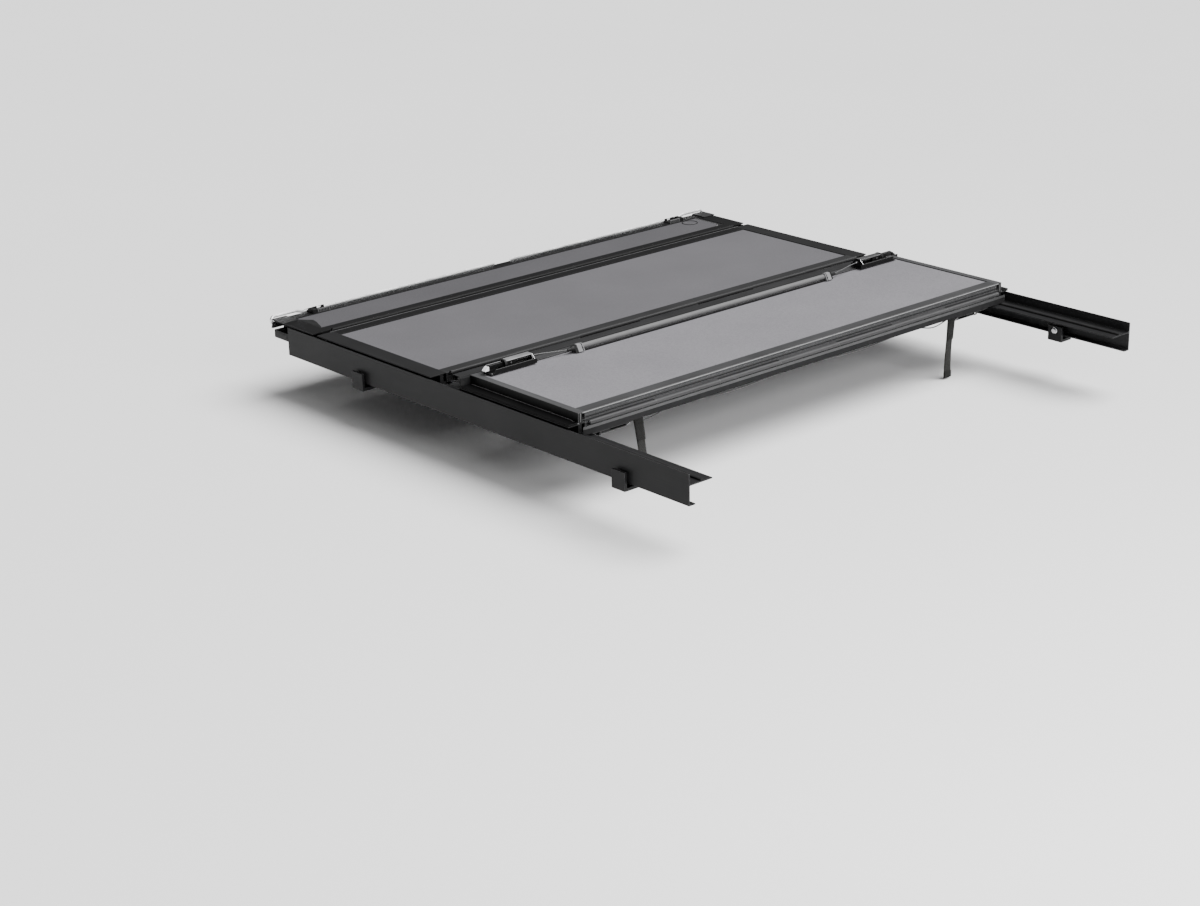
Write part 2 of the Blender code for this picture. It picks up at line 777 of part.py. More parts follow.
def rail_clamp(side, name, place):
    """A clamp that pinches the bed's flange against the rail, with a hole for its bolt."""
    inner_leg = (0.770, 0.777)
    outer_leg = (0.806, 0.813)
    bridge = (-0.052, -0.045)
    inner_top = -0.010
    outer_top = -0.006
    outline = [
        (inner_leg[0], bridge[0]),
        (outer_leg[1], bridge[0]),
        (outer_leg[1], outer_top),
        (outer_leg[0], outer_top),
        (outer_leg[0], bridge[1]),
        (inner_leg[1], bridge[1]),
        (inner_leg[1], inner_top),
        (inner_leg[0], inner_top),
    ]
    if side < 0:
        outline = mirrored(outline)
    low = place - CLAMP_LENGTH / 2
    high = place + CLAMP_LENGTH / 2
    clamp = extruded(name, [outline], low, high, "Y")
    over = 0.004
    start = (side * (inner_leg[0] - over), place, CLAMP_BOLT_HEIGHT)
    end = (side * (inner_leg[1] + over), place, CLAMP_BOLT_HEIGHT)
    cut(clamp, rod(name + "_hole", start, end, CLAMP_BOLT_RADIUS, 16))
    finish(clamp, "rail_aluminium")


def header():
    """The rail on the bed's front wall, with a seal strip in a groove on its underside."""
    high = UNDERSIDE - GAP
    groove = (0.006, 0.026)
    groove_depth = 0.003
    wall = 0.0035
    outline = [
        (HEADER_REAR, 0),
        (groove[0], 0),
        (groove[0], groove_depth),
        (groove[1], groove_depth),
        (groove[1], 0),
        (HEADER_FRONT, 0),
        (HEADER_FRONT, high),
        (HEADER_REAR, high),
    ]
    chamber = rectangle((HEADER_REAR + wall, 2 * wall), (HEADER_FRONT - wall, high - wall))
    rail = extruded("header_rail", [outline, chamber], -HEADER_HALF, HEADER_HALF, "X")
    finish(rail, "rail_aluminium")
    strip = rectangle((groove[0] + GAP, 0), (groove[1] - GAP, groove_depth - GAP))
    finish(extruded("header_seal", [strip], -HEADER_HALF, HEADER_HALF, "X"), "black_rubber")


# Prop rods


def lean_direction():
    """The way a rod's pivot axis points, down and away from the cab."""
    return Vector((0, -math.cos(ROD_LEAN), -math.sin(ROD_LEAN)))


def corner_cap(side, word):
    """A moulded cap on the front panel's corner, with a lug whose leaning face carries a rod."""
    low = PANEL_TOP + GAP
    high = low + CAP_THICK
    ends = sorted((side * CAP_INNER, side * CAP_OUTER))
    plate = rectangle((ends[0], CAP_REAR), (ends[1], CAP_FRONT))
    cap = extruded(f"{word}_corner_cap", [plate], low, high, "Z")
    back = FRONT_START + GAP
    margin = 0.003
    lug_top = EYE_Z + 0.006
    lug_bottom = EYE_Z - 0.0105
    bite = 0.001
    ends = sorted((side * CAP_INNER, side * (EYE_PLACE - EYE_RADIUS - margin)))
    web_low = (ends[0], back, lug_top - 2 * bite)
    web_high = (ends[1], CAP_FRONT, low + bite)
    joined(cap, block(f"{word}_corner_web", web_low, web_high))
    face = Vector((0, ROD_Y, EYE_Z)) + lean_direction() * LUG_FACE
    slope = math.tan(ROD_LEAN)
    outline = [
        (back, lug_bottom),
        (face.y + (face.z - lug_bottom) * slope, lug_bottom),
        (face.y + (face.z - lug_top) * slope, lug_top),
        (back, lug_top),
    ]
    ends = sorted((side * CAP_INNER, side * (EYE_PLACE + EYE_RADIUS + margin)))
    joined(cap, extruded(f"{word}_corner_lug", [outline], ends[0], ends[1], "X"))
    pivot = Vector((side * EYE_PLACE, ROD_Y, EYE_Z))
    through = lean_direction() * 0.020
    cut(cap, rod(f"{word}_corner_hole", pivot - through, pivot + through, SCREW_RADIUS + GAP, 14))
    finish(cap, "grey_plastic")


def pivot_screw(side, word):
    """The screw that holds a rod's eye on its lug."""
    pivot = Vector((side * EYE_PLACE, ROD_Y, EYE_Z))
    lean = lean_direction()
    reach = 0.0072
    head_thick = 0.0019
    head_radius = 0.0052
    under_head = EYE_HALF + GAP
    start = pivot - lean * (under_head + head_thick / 2)
    screw = rod(f"{word}_rod_pivot_screw", start, pivot + lean * reach, SCREW_RADIUS, 14)
    head_start = pivot - lean * (under_head + head_thick)
    head = rod(f"{word}_rod_screw_head", head_start, pivot - lean * under_head, head_radius, 14)
    joined(screw, head)
    finish(screw, "zinc_steel", smooth=True)


def rod_path(side):
    """A rod's centre line: straight, cranked up over the corner cap, then hooked down to its eye."""
    steps = 6
    path = [(ROD_TIP, ROD_Z)]
    for step in range(steps + 1):
        share = step / steps
        x = CRANK_START + (CRANK_END - CRANK_START) * share
        path.append((x, ROD_Z + CRANK_RISE * smooth_step(share)))
    hook_centre = (EYE_PLACE, ROD_Z + CRANK_RISE - HOOK_RADIUS)
    path += arc(hook_centre, HOOK_RADIUS, 90, -45, 8)
    return [(side * x, ROD_Y, z) for x, z in path]


def prop_rod(side, word):
    """A steel rod that lies along the header and swings up to hold the folded panels."""
    pivot = Vector((side * EYE_PLACE, ROD_Y, EYE_Z))
    axis = joint_axis(f"{word}_rod_axis", pivot)
    lean = lean_direction()
    made = wire(f"{word}_prop_rod", rod_path(side), ROD_RADIUS, 2)
    eye = rod(f"{word}_rod_eye", pivot - lean * EYE_HALF, pivot + lean * EYE_HALF, EYE_RADIUS, 18)
    joined(made, eye)
    through = lean * 2 * EYE_HALF
    cut(made, rod(f"{word}_rod_eye_hole", pivot - through, pivot + through, SCREW_RADIUS + GAP, 14))
    finish(made, "zinc_steel", axis, smooth=True)


def rod_clip(side, word):
    """A clip on the front panel: a cup under the stowed rod, a ridge behind it and a taller outer end."""
    base = PANEL_TOP + GAP
    cup_outer = 0.0066
    cup_inner = ROD_RADIUS + 0.0004
    prong = 0.003
    step_back = ROD_Y - cup_outer - 0.0009
    step_rear = 0.0262
    floor_top = base + 0.003
    step_top = base + 0.0052
    block_top = base + 0.0102
    ridge = 0.004
    centre = (ROD_Y, ROD_Z)
    cup = [(0, base)]
    cup += arc(centre, cup_outer, 180, 360, 8)
    cup += [(ROD_Y + cup_outer, ROD_Z + prong), (ROD_Y + cup_inner, ROD_Z + prong)]
    cup += arc(centre, cup_inner, 360, 180, 8)
    cup += [(step_back, step_top), (step_rear, step_top)]
    fork = cup + [(step_rear, floor_top), (ridge, floor_top), (ridge, block_top), (0, block_top)]
    end_block = cup + [(step_rear, block_top), (0, block_top)]
    inner = ROD_CLIP_PLACE - ROD_CLIP_HALF
    outer = ROD_CLIP_PLACE + ROD_CLIP_HALF
    bite = 0.001
    split = outer - ROD_CLIP_BLOCK
    ends = sorted((side * inner, side * split))
    clip = extruded(f"{word}_rod_clip", [fork], ends[0], ends[1], "X")
    ends = sorted((side * (split - bite), side * outer))
    joined(clip, extruded(f"{word}_rod_clip_block", [end_block], ends[0], ends[1], "X"))
    finish(clip, "black_plastic")


def build():
    header()
    front_panel()
    second_axis = joint_axis("second_panel_axis", (0, FRONT_PIN, PIN_Z))
    second_panel(second_axis)
    link_axis = joint_axis("link_axis", (0, LINK_FRONT_PIN, PIN_Z))
    link(link_axis)
    third_axis = joint_axis("third_panel_axis", (0, LINK_REAR_PIN, PIN_Z))
    third_panel(third_axis)
    third_latch = THIRD_END + THIRD_LATCH_INSET
    latch_pair("third_panel", third_latch, third_axis)
    third_release(third_latch, third_axis)
    pull_straps(third_axis)
    tail_axis = joint_axis("tail_panel_axis", (0, TAIL_PIN, PIN_Z))
    tail_panel(tail_axis)
    tail_latch = TAIL_END + TAIL_LATCH_INSET
    latch_pair("tail_panel", tail_latch, tail_axis)
    tail_release(tail_latch, tail_axis)
    tail_axis.rotation_euler = (math.pi, 0, 0)
    for side, word in ((-1, "left"), (1, "right")):
        side_rail(side, word)
        rail_seal(side, word)
        corner_cap(side, word)
        pivot_screw(side, word)
        prop_rod(side, word)
        rod_clip(side, word)
        for number, place in enumerate(CLAMP_PLACES, start=1):
            rail_clamp(side, f"{word}_rail_clamp_{number}", place)


build()
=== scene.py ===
"""The looks of a hard folding tonneau cover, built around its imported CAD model.

Metres, in the CAD model's frame: +X is the passenger side, +Y is towards the cab and +Z is up. The
CAD nodes keep their shapes and get bevelled edges and materials. The latches, clips, cables, rods'
fittings, straps and fasteners are detailed pieces that stand in the places of their CAD solids.
"""

import json
import math

import bmesh
import bpy
from mathutils import Matrix, Vector
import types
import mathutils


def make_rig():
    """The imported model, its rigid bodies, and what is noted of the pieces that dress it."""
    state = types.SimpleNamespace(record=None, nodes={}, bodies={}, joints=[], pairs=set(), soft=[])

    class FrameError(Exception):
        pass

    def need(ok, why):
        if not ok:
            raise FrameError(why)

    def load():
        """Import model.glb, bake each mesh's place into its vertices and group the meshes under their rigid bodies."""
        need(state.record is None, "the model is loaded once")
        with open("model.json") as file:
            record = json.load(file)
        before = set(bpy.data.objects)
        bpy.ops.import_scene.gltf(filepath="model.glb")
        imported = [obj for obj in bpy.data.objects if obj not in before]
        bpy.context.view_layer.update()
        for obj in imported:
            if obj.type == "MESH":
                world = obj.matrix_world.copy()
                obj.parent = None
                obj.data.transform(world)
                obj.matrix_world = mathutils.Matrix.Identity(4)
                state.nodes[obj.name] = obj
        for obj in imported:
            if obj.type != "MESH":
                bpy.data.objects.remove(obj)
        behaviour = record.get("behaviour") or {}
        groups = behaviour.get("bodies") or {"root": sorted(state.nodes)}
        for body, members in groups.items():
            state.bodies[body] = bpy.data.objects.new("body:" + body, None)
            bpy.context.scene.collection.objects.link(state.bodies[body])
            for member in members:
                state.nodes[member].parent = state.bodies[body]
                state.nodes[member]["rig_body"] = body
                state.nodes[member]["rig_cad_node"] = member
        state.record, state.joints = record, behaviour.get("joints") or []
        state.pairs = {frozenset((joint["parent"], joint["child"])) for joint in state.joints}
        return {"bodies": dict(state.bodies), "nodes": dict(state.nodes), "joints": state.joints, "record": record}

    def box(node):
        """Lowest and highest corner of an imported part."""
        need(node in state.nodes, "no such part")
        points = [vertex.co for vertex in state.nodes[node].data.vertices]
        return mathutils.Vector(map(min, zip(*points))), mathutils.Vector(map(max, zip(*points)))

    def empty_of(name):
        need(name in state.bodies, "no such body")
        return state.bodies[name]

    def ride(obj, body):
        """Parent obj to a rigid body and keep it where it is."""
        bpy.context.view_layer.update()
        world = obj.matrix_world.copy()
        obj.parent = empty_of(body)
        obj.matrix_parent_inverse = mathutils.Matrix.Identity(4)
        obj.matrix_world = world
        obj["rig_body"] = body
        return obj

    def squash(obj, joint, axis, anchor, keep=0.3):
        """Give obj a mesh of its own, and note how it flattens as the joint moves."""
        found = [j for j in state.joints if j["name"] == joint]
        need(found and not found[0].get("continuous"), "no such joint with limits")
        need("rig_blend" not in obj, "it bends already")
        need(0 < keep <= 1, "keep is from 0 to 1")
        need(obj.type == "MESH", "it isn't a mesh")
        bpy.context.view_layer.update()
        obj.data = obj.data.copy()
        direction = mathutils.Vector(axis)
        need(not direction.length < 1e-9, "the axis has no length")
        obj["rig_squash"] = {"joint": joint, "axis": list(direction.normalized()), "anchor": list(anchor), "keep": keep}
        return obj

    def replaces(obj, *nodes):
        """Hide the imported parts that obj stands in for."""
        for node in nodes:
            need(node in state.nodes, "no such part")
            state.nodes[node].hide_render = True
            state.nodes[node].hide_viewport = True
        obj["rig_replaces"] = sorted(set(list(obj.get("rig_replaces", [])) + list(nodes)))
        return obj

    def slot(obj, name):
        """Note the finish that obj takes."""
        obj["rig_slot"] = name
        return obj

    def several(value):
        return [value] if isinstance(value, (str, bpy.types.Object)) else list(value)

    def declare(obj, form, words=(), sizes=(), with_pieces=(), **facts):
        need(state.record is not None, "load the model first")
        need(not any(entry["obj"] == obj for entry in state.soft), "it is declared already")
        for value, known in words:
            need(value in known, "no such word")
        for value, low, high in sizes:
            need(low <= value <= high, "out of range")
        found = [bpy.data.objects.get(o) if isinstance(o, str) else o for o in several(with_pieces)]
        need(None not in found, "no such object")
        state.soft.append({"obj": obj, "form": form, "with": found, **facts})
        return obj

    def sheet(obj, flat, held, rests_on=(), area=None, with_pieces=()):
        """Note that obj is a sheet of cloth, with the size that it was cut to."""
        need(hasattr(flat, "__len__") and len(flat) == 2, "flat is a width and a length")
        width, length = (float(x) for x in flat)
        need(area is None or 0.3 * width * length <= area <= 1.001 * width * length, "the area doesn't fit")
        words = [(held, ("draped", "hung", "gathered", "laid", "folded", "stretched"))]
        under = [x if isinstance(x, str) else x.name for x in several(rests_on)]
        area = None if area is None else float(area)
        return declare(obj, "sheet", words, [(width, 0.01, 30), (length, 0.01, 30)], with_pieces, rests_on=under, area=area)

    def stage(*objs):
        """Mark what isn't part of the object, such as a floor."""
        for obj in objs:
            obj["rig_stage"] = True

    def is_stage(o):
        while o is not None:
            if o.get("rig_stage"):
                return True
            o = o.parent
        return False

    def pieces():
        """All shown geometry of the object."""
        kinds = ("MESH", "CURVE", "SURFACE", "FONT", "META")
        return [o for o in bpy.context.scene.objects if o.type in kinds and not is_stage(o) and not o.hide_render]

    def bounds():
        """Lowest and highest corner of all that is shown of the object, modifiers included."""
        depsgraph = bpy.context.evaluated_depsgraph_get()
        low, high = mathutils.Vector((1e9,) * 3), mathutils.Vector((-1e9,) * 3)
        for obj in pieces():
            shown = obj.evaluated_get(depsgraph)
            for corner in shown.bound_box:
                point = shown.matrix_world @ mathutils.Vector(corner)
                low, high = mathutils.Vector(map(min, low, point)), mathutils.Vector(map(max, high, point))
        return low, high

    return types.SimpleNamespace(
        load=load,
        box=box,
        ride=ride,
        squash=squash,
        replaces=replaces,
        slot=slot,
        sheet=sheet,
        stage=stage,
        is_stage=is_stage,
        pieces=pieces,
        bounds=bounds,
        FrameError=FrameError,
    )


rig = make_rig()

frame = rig.load()
CAD_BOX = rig.bounds()
NODES = frame["nodes"]

SIDES = ((-1, "left"), (1, "right"))

# The camera
CAMERA_PLACE = (-4.1656, -5.1117, 1.8941)
CAMERA_YAW = math.radians(41.333)
CAMERA_PITCH = math.radians(20.249)
CAMERA_ROLL = math.radians(-1.130)
CAMERA_LENS = 71.05
SENSOR_WIDTH = 36.0

# The studio
FLOOR_DROP = 0.004
FLOOR_SIZE = 60.0
COVER_CENTRE = Vector((0, -0.75, 0.03))
WORLD_STRENGTH = 0.20
SUN_STRENGTH = 6.6
SUN_ANGLE = math.radians(50)
SUN_DIRECTION = (-0.45, 0.25, -0.86)
FILL_POWER = 120


# Objects


def link(item):
    bpy.context.scene.collection.objects.link(item)
    return item


def add(name, surface, material, body, smooth=35, slot=None):
    """A mesh object made from a bmesh, riding on a body; its slot is its material's unless given."""
    bmesh.ops.recalc_face_normals(surface, faces=surface.faces)
    mesh = bpy.data.meshes.new(name)
    surface.to_mesh(mesh)
    surface.free()
    item = link(bpy.data.objects.new(name, mesh))
    mesh.materials.append(material)
    mesh.shade_smooth()
    mesh.set_sharp_from_angle(angle=math.radians(smooth))
    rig.ride(item, body)
    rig.slot(item, slot or SLOT_OF[material.name])
    return item


def soften(item, width, segments=2, angle=30):
    """Rounds an item's sharp edges, and keeps its flat faces flat."""
    bevel = item.modifiers.new("edges", "BEVEL")
    bevel.width = width
    bevel.segments = segments
    bevel.limit_method = "ANGLE"
    bevel.angle_limit = math.radians(angle)
    bevel.use_clamp_overlap = True
    normals = item.modifiers.new("normals", "WEIGHTED_NORMAL")
    normals.keep_sharp = False
    return item


def prism(surface, outline, low, high, place):
    """A flat outline of (a, b) points extruded from low to high; place turns (a, b, c) into a point."""
    start = [surface.verts.new(place(a, b, low)) for a, b in outline]
    end = [surface.verts.new(place(a, b, high)) for a, b in outline]
    surface.faces.new(start)
    surface.faces.new(end)
    for index, vert in enumerate(start):
        other = (index + 1) % len(start)
        surface.faces.new((vert, start[other], end[other], end[index]))


def lathe(surface, profile, place, steps):
    """A profile of (radius, height) points turned round an axis; place turns (a, b, c) into a point."""
    rings = []
    for radius, height in profile:
        if radius < 1e-6:
            rings.append([surface.verts.new(place(0, 0, height))])
            continue
        ring = []
        for step in range(steps):
            angle = 2 * math.pi * step / steps
            ring.append(surface.verts.new(place(radius * math.cos(angle), radius * math.sin(angle), height)))
        rings.append(ring)
    for lower, upper in zip(rings, rings[1:]):
        for step in range(steps):
            other = (step + 1) % steps
            corners = [lower[step % len(lower)], lower[other % len(lower)]]
            corners += [upper[other % len(upper)], upper[step % len(upper)]]
            kept = []
            for corner in corners:
                if corner not in kept:
                    kept.append(corner)
            surface.faces.new(kept)


def across(a, b, c):
    """A place for prism and lathe: (a, b) lies in (y, z), and c runs along x."""
    return (c, a, b)


def flat(a, b, c):
    """A place for prism: (a, b) lies in (x, y), and c runs along z."""
    return (a, b, c)


def solid(name, outline, span, place, material, body, edge, segments=2, slot=None):
    """A piece extruded from an outline over a span, with its edges rounded."""
    surface = bmesh.new()
    prism(surface, outline, *span, place)
    return soften(add(name, surface, material, body, slot=slot), edge, segments)


def turned(name, profile, place, steps, material, body, smooth=35):
    """A piece turned from a profile."""
    surface = bmesh.new()
    lathe(surface, profile, place, steps)
    return add(name, surface, material, body, smooth)


def mirrored(side, start, end):
    """A span along x on one side of the cover."""
    return (side * start, side * end)


def through(rows, skip=()):
    """A surface through rows of points, with some of its faces left out."""
    surface = bmesh.new()
    grid = [[surface.verts.new(point) for point in row] for row in rows]
    for row, (near, far) in enumerate(zip(grid, grid[1:])):
        for column in range(len(near) - 1):
            if (row, column) not in skip:
                surface.faces.new((near[column], far[column], far[column + 1], near[column + 1]))
    return surface


def thickened(item, thickness):
    """Gives a surface a thickness, half to each side."""
    solidify = item.modifiers.new("thickness", "SOLIDIFY")
    solidify.thickness = thickness
    solidify.offset = 0
    return item


def arc(centre, radius, start, end, steps):
    """Points on an arc, from one angle to another, in degrees."""
    points = []
    for step in range(steps + 1):
        angle = math.radians(start + (end - start) * step / steps)
        points.append((centre[0] + radius * math.cos(angle), centre[1] + radius * math.sin(angle)))
    return points


def rounded(low, high, radius, steps=4):
    """A rectangle's outline with round corners."""
    points = []
    corners = (
        (high[0] - radius, high[1] - radius, 0),
        (low[0] + radius, high[1] - radius, 90),
        (low[0] + radius, low[1] + radius, 180),
        (high[0] - radius, low[1] + radius, 270),
    )
    for x, y, start in corners:
        points += arc((x, y), radius, start, start + 90, steps)
    return points


def curve(name, points, radius, material, body, resolution, slot=None):
    """A round wire or cable along a list of points."""
    data = bpy.data.curves.new(name, "CURVE")
    data.dimensions = "3D"
    data.bevel_depth = radius
    data.bevel_resolution = resolution
    data.use_fill_caps = True
    spline = data.splines.new("POLY")
    spline.points.add(len(points) - 1)
    for point, place in zip(spline.points, points):
        point.co = (*place, 1)
    spline.use_smooth = True
    data.materials.append(material)
    item = link(bpy.data.objects.new(name, data))
    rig.ride(item, body)
    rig.slot(item, slot or SLOT_OF[material.name])
    return item


def smooth_step(share):
    """Eases a share from 0 to 1, level at both ends."""
    share = min(max(share, 0), 1)
    return share * share * (3 - 2 * share)


def centre_of(node):
    """The middle of a CAD node's box."""
    low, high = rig.box(node)
    return (Vector(low) + Vector(high)) / 2


# Materials


class Finish:
    """A node material, built up from noise, lines, and paler edges that are part wear and part painted highlight, all
    in the object's own coordinates.
    """

    def __init__(self, name, colour, roughness, metallic=0.0, coat=0.0, sheen=0.0, specular=0.5):
        self.material = bpy.data.materials.new(name)
        self.material.use_nodes = True
        self.tree = self.material.node_tree
        self.shader = self.tree.nodes["Principled BSDF"]
        self.feed(self.shader, {"Metallic": metallic, "Coat Weight": coat, "Sheen Weight": sheen,
                                "Specular IOR Level": specular})
        self.coordinates = self.node("ShaderNodeTexCoord").outputs["Object"]
        self.colour = self.node("ShaderNodeRGB").outputs[0]
        self.colour.default_value = (*colour, 1)
        self.roughness = self.node("ShaderNodeValue").outputs[0]
        self.roughness.default_value = roughness
        self.normal = None

    def feed(self, node, inputs):
        """Sets a node's inputs to values, or links them to other nodes' outputs."""
        for key, source in inputs.items():
            if isinstance(source, bpy.types.NodeSocket):
                self.tree.links.new(source, node.inputs[key])
            else:
                node.inputs[key].default_value = source

    def node(self, kind, inputs=None, **settings):
        made = self.tree.nodes.new(kind)
        for key, setting in settings.items():
            setattr(made, key, setting)
        self.feed(made, inputs or {})
        return made

    def stretched(self, scale):
        return self.node("ShaderNodeMapping", {"Scale": scale, "Vector": self.coordinates}).outputs["Vector"]

    def noise(self, scale, detail, stretch=(1, 1, 1)):
        inputs = {"Scale": scale, "Detail": detail, "Vector": self.stretched(stretch)}
        return self.node("ShaderNodeTexNoise", inputs).outputs["Fac"]

    def cells(self, scale):
        inputs = {"Scale": scale, "Vector": self.stretched((1, 1, 1))}
        return self.node("ShaderNodeTexVoronoi", inputs).outputs["Distance"]

    def bands(self, scale, direction):
        inputs = {"Scale": scale, "Vector": self.stretched((1, 1, 1))}
        return self.node("ShaderNodeTexWave", inputs, bands_direction=direction).outputs["Fac"]

    def ranged(self, source, low, high, start=0.3, end=0.7):
        """A factor's middle stretch spread over a range."""
        inputs = {"Value": source, "From Min": start, "From Max": end, "To Min": low, "To Max": high}
        return self.node("ShaderNodeMapRange", inputs).outputs["Result"]

    def math(self, operation, first, second):
        return self.node("ShaderNodeMath", {0: first, 1: second}, operation=operation).outputs[0]

    def tint(self, factor, colour):
        """Blends the colour so far towards another one."""
        inputs = {"Factor": factor, "A": self.colour, "B": (*colour, 1)}
        self.colour = self.node("ShaderNodeMix", inputs, data_type="RGBA").outputs["Result"]

    def brighten(self, source, *spread):
        """Multiplies the colour so far by a factor spread over a range."""
        inputs = {"Vector": self.colour, "Scale": self.ranged(source, *spread)}
        self.colour = self.node("ShaderNodeVectorMath", inputs, operation="SCALE").outputs["Vector"]

    def rough(self, source, low, high):
        """Adds an amount spread over a range to the roughness."""
        self.roughness = self.math("ADD", self.roughness, self.ranged(source, low, high))

    def wear(self, radius, rub, low, high, colour):
        """Blends a paler colour in along the edges, where the rub is: part wear, part painted edge highlight."""
        self.tint(self.math("MULTIPLY", self.edges(radius), self.ranged(rub, low, high)), colour)

    def bump(self, height, distance, strength):
        inputs = {"Strength": strength, "Distance": distance, "Height": height}
        if self.normal:
            inputs["Normal"] = self.normal
        self.normal = self.node("ShaderNodeBump", inputs).outputs["Normal"]

    def edges(self, radius):
        """How near a point lies to a sharp edge, from 0 on a flat face to about 1 on the edge."""
        bevel = self.node("ShaderNodeBevel", {"Radius": radius}, samples=4).outputs["Normal"]
        face = self.node("ShaderNodeNewGeometry").outputs["True Normal"]
        dot = self.node("ShaderNodeVectorMath", {0: bevel, 1: face}, operation="DOT_PRODUCT")
        return self.ranged(dot.outputs["Value"], 1.0, 0.0, 0.80, 0.995)

    def done(self):
        self.feed(self.shader, {"Base Color": self.colour, "Roughness": self.roughness})
        if self.normal:
            self.feed(self.shader, {"Normal": self.normal})
        return self.material


ALONG = {"x": (0.012, 1, 1), "y": (1, 0.012, 1)}
FLANGE_START = 0.7678


def coated_extrusion(name, along, colour, edge_rub_and_highlight, specular):
    """Powder-coated extrusion: fine grain, faint die lines along its length, and paler edges, part wear and part
    painted edge highlight.
    """
    finish = Finish(name, (colour, colour, colour * 1.03), 0.46, specular=specular)
    lines = finish.noise(420, 3.0, ALONG[along])
    patches = finish.noise(9, 3.0)
    finish.brighten(patches, 0.86, 1.16)
    finish.brighten(lines, 0.84, 1.18)
    # Pale edges: part wear, part a painted highlight along the bars' edges.
    finish.wear(0.0012, finish.noise(140, 4.0), 0.35, 1.0, (edge_rub_and_highlight, edge_rub_and_highlight, edge_rub_and_highlight * 1.02))
    finish.rough(patches, -0.05, 0.07)
    finish.bump(lines, 0.00004, 0.6)
    finish.bump(finish.noise(2600, 2.0), 0.00003, 0.5)
    return finish, lines


def extruded_finish(name, along, colour, edge_rub_and_highlight, specular):
    """The panels' bars, whose shine varies along the die lines."""
    finish, lines = coated_extrusion(name, along, colour, edge_rub_and_highlight, specular)
    finish.rough(lines, -0.04, 0.05)
    return finish.done()


def flanged_finish(name, colour, edge_rub_and_highlight):
    """The tail panel's side bars, with a painted shadow in deep black over the flange beyond the bar."""
    finish, _ = coated_extrusion(name, "y", colour, edge_rub_and_highlight, 0.12)
    parts = finish.node("ShaderNodeSeparateXYZ", {"Vector": finish.coordinates})
    reach = finish.math("ABSOLUTE", parts.outputs["X"], 0.0)
    # Painted shadow: beyond FLANGE_START the flange is tinted near black, as if shaded by the bar.
    finish.tint(finish.math("GREATER_THAN", reach, FLANGE_START), (0.0025, 0.0025, 0.0026))
    return finish.done()


def skin_finish(name, tone):
    """A panel's moulded skin: a pebbled grain, fine speckle and slow drifts of tone."""
    finish = Finish(name, (tone * 1.01, tone * 0.985, tone * 1.055), 0.66, specular=0.20)
    speckle = finish.noise(620, 2.0)
    fleck = finish.noise(1500, 1.0)
    drift = finish.noise(5.0, 4.0)
    finish.brighten(drift, 0.95, 1.05)
    finish.brighten(finish.noise(240, 2.0), 0.91, 1.09)
    finish.brighten(speckle, 0.90, 1.10)
    finish.brighten(fleck, 0.95, 1.05)
    finish.rough(speckle, -0.05, 0.06)
    finish.bump(finish.cells(1050), 0.00016, 0.5)
    finish.bump(finish.noise(190, 2.0), 0.00008, 0.3)
    return finish.done()


def rail_finish():
    """Black anodised rail: brushed lines and paler edges."""
    finish = Finish("anodised_rail", (0.013, 0.013, 0.0135), 0.42, specular=0.12)
    lines = finish.noise(520, 3.0, ALONG["y"])
    finish.brighten(finish.noise(7, 3.0), 0.85, 1.2)
    finish.brighten(lines, 0.82, 1.2)
    finish.wear(0.0009, finish.noise(90, 4.0), 0.1, 0.9, (0.20, 0.20, 0.21))
    finish.rough(lines, -0.05, 0.08)
    finish.bump(lines, 0.00004, 0.6)
    return finish.done()


def rubber_finish():
    """Matt rubber with a fine skin, faint dust and grey bloom."""
    finish = Finish("seal_rubber", (0.010, 0.010, 0.0105), 0.76, specular=0.15)
    dust = finish.noise(38, 5.0)
    finish.tint(finish.ranged(dust, 0.0, 0.20, 0.45, 0.8), (0.050, 0.049, 0.047))
    finish.rough(dust, -0.04, 0.10)
    finish.bump(finish.noise(1800, 2.0), 0.00005, 0.7)
    finish.bump(finish.noise(60, 3.0), 0.0002, 0.25)
    return finish.done()


def plastic_finish(name, colour, roughness, edge_rub_and_highlight):
    """Moulded plastic: a spark-eroded grain, soft shine and scuffed corners."""
    finish = Finish(name, (colour, colour, colour * 1.02), roughness, specular=0.22)
    scuff = finish.noise(160, 5.0)
    finish.brighten(finish.noise(30, 3.0), 0.88, 1.12)
    finish.wear(0.0008, scuff, 0.3, 1.0, (edge_rub_and_highlight, edge_rub_and_highlight, edge_rub_and_highlight))
    finish.rough(scuff, -0.06, 0.10)
    finish.bump(finish.cells(2400), 0.00006, 0.5)
    return finish.done()


def coated_steel(name, colour, edge_rub_and_highlight, roughness=0.42):
    """Pressed steel with a thin coat, paler on its edges: part rub, part painted edge highlight."""
    finish = Finish(name, (colour, colour, colour * 1.02), roughness, specular=0.22)
    rub = finish.noise(210, 5.0)
    finish.brighten(finish.noise(26, 3.0), 0.85, 1.2)
    # Pale edges: part rub, part a painted highlight along the edges.
    finish.wear(0.0010, rub, 0.3, 1.0, (edge_rub_and_highlight, edge_rub_and_highlight, edge_rub_and_highlight))
    finish.rough(rub, -0.06, 0.09)
    finish.bump(finish.noise(1700, 3.0), 0.00004, 0.6)
    return finish.done()


def bright_metal(name, colour, roughness, along=None, scale=620, metallic=1.0):
    """Bare or zinc-plated metal: drawn lines or a soft spangle, with small stains."""
    finish = Finish(name, (colour, colour, colour * 1.01), roughness, metallic=metallic)
    marks = finish.noise(scale, 3.0, ALONG[along] if along else (1, 1, 1))
    stain = finish.noise(24, 5.0)
    finish.brighten(marks, 0.90, 1.08)
    finish.brighten(stain, 0.88, 1.05)
    finish.rough(marks, -0.05, 0.07)
    finish.rough(stain, -0.03, 0.08)
    finish.bump(marks, 0.00003, 0.5)
    return finish.done()


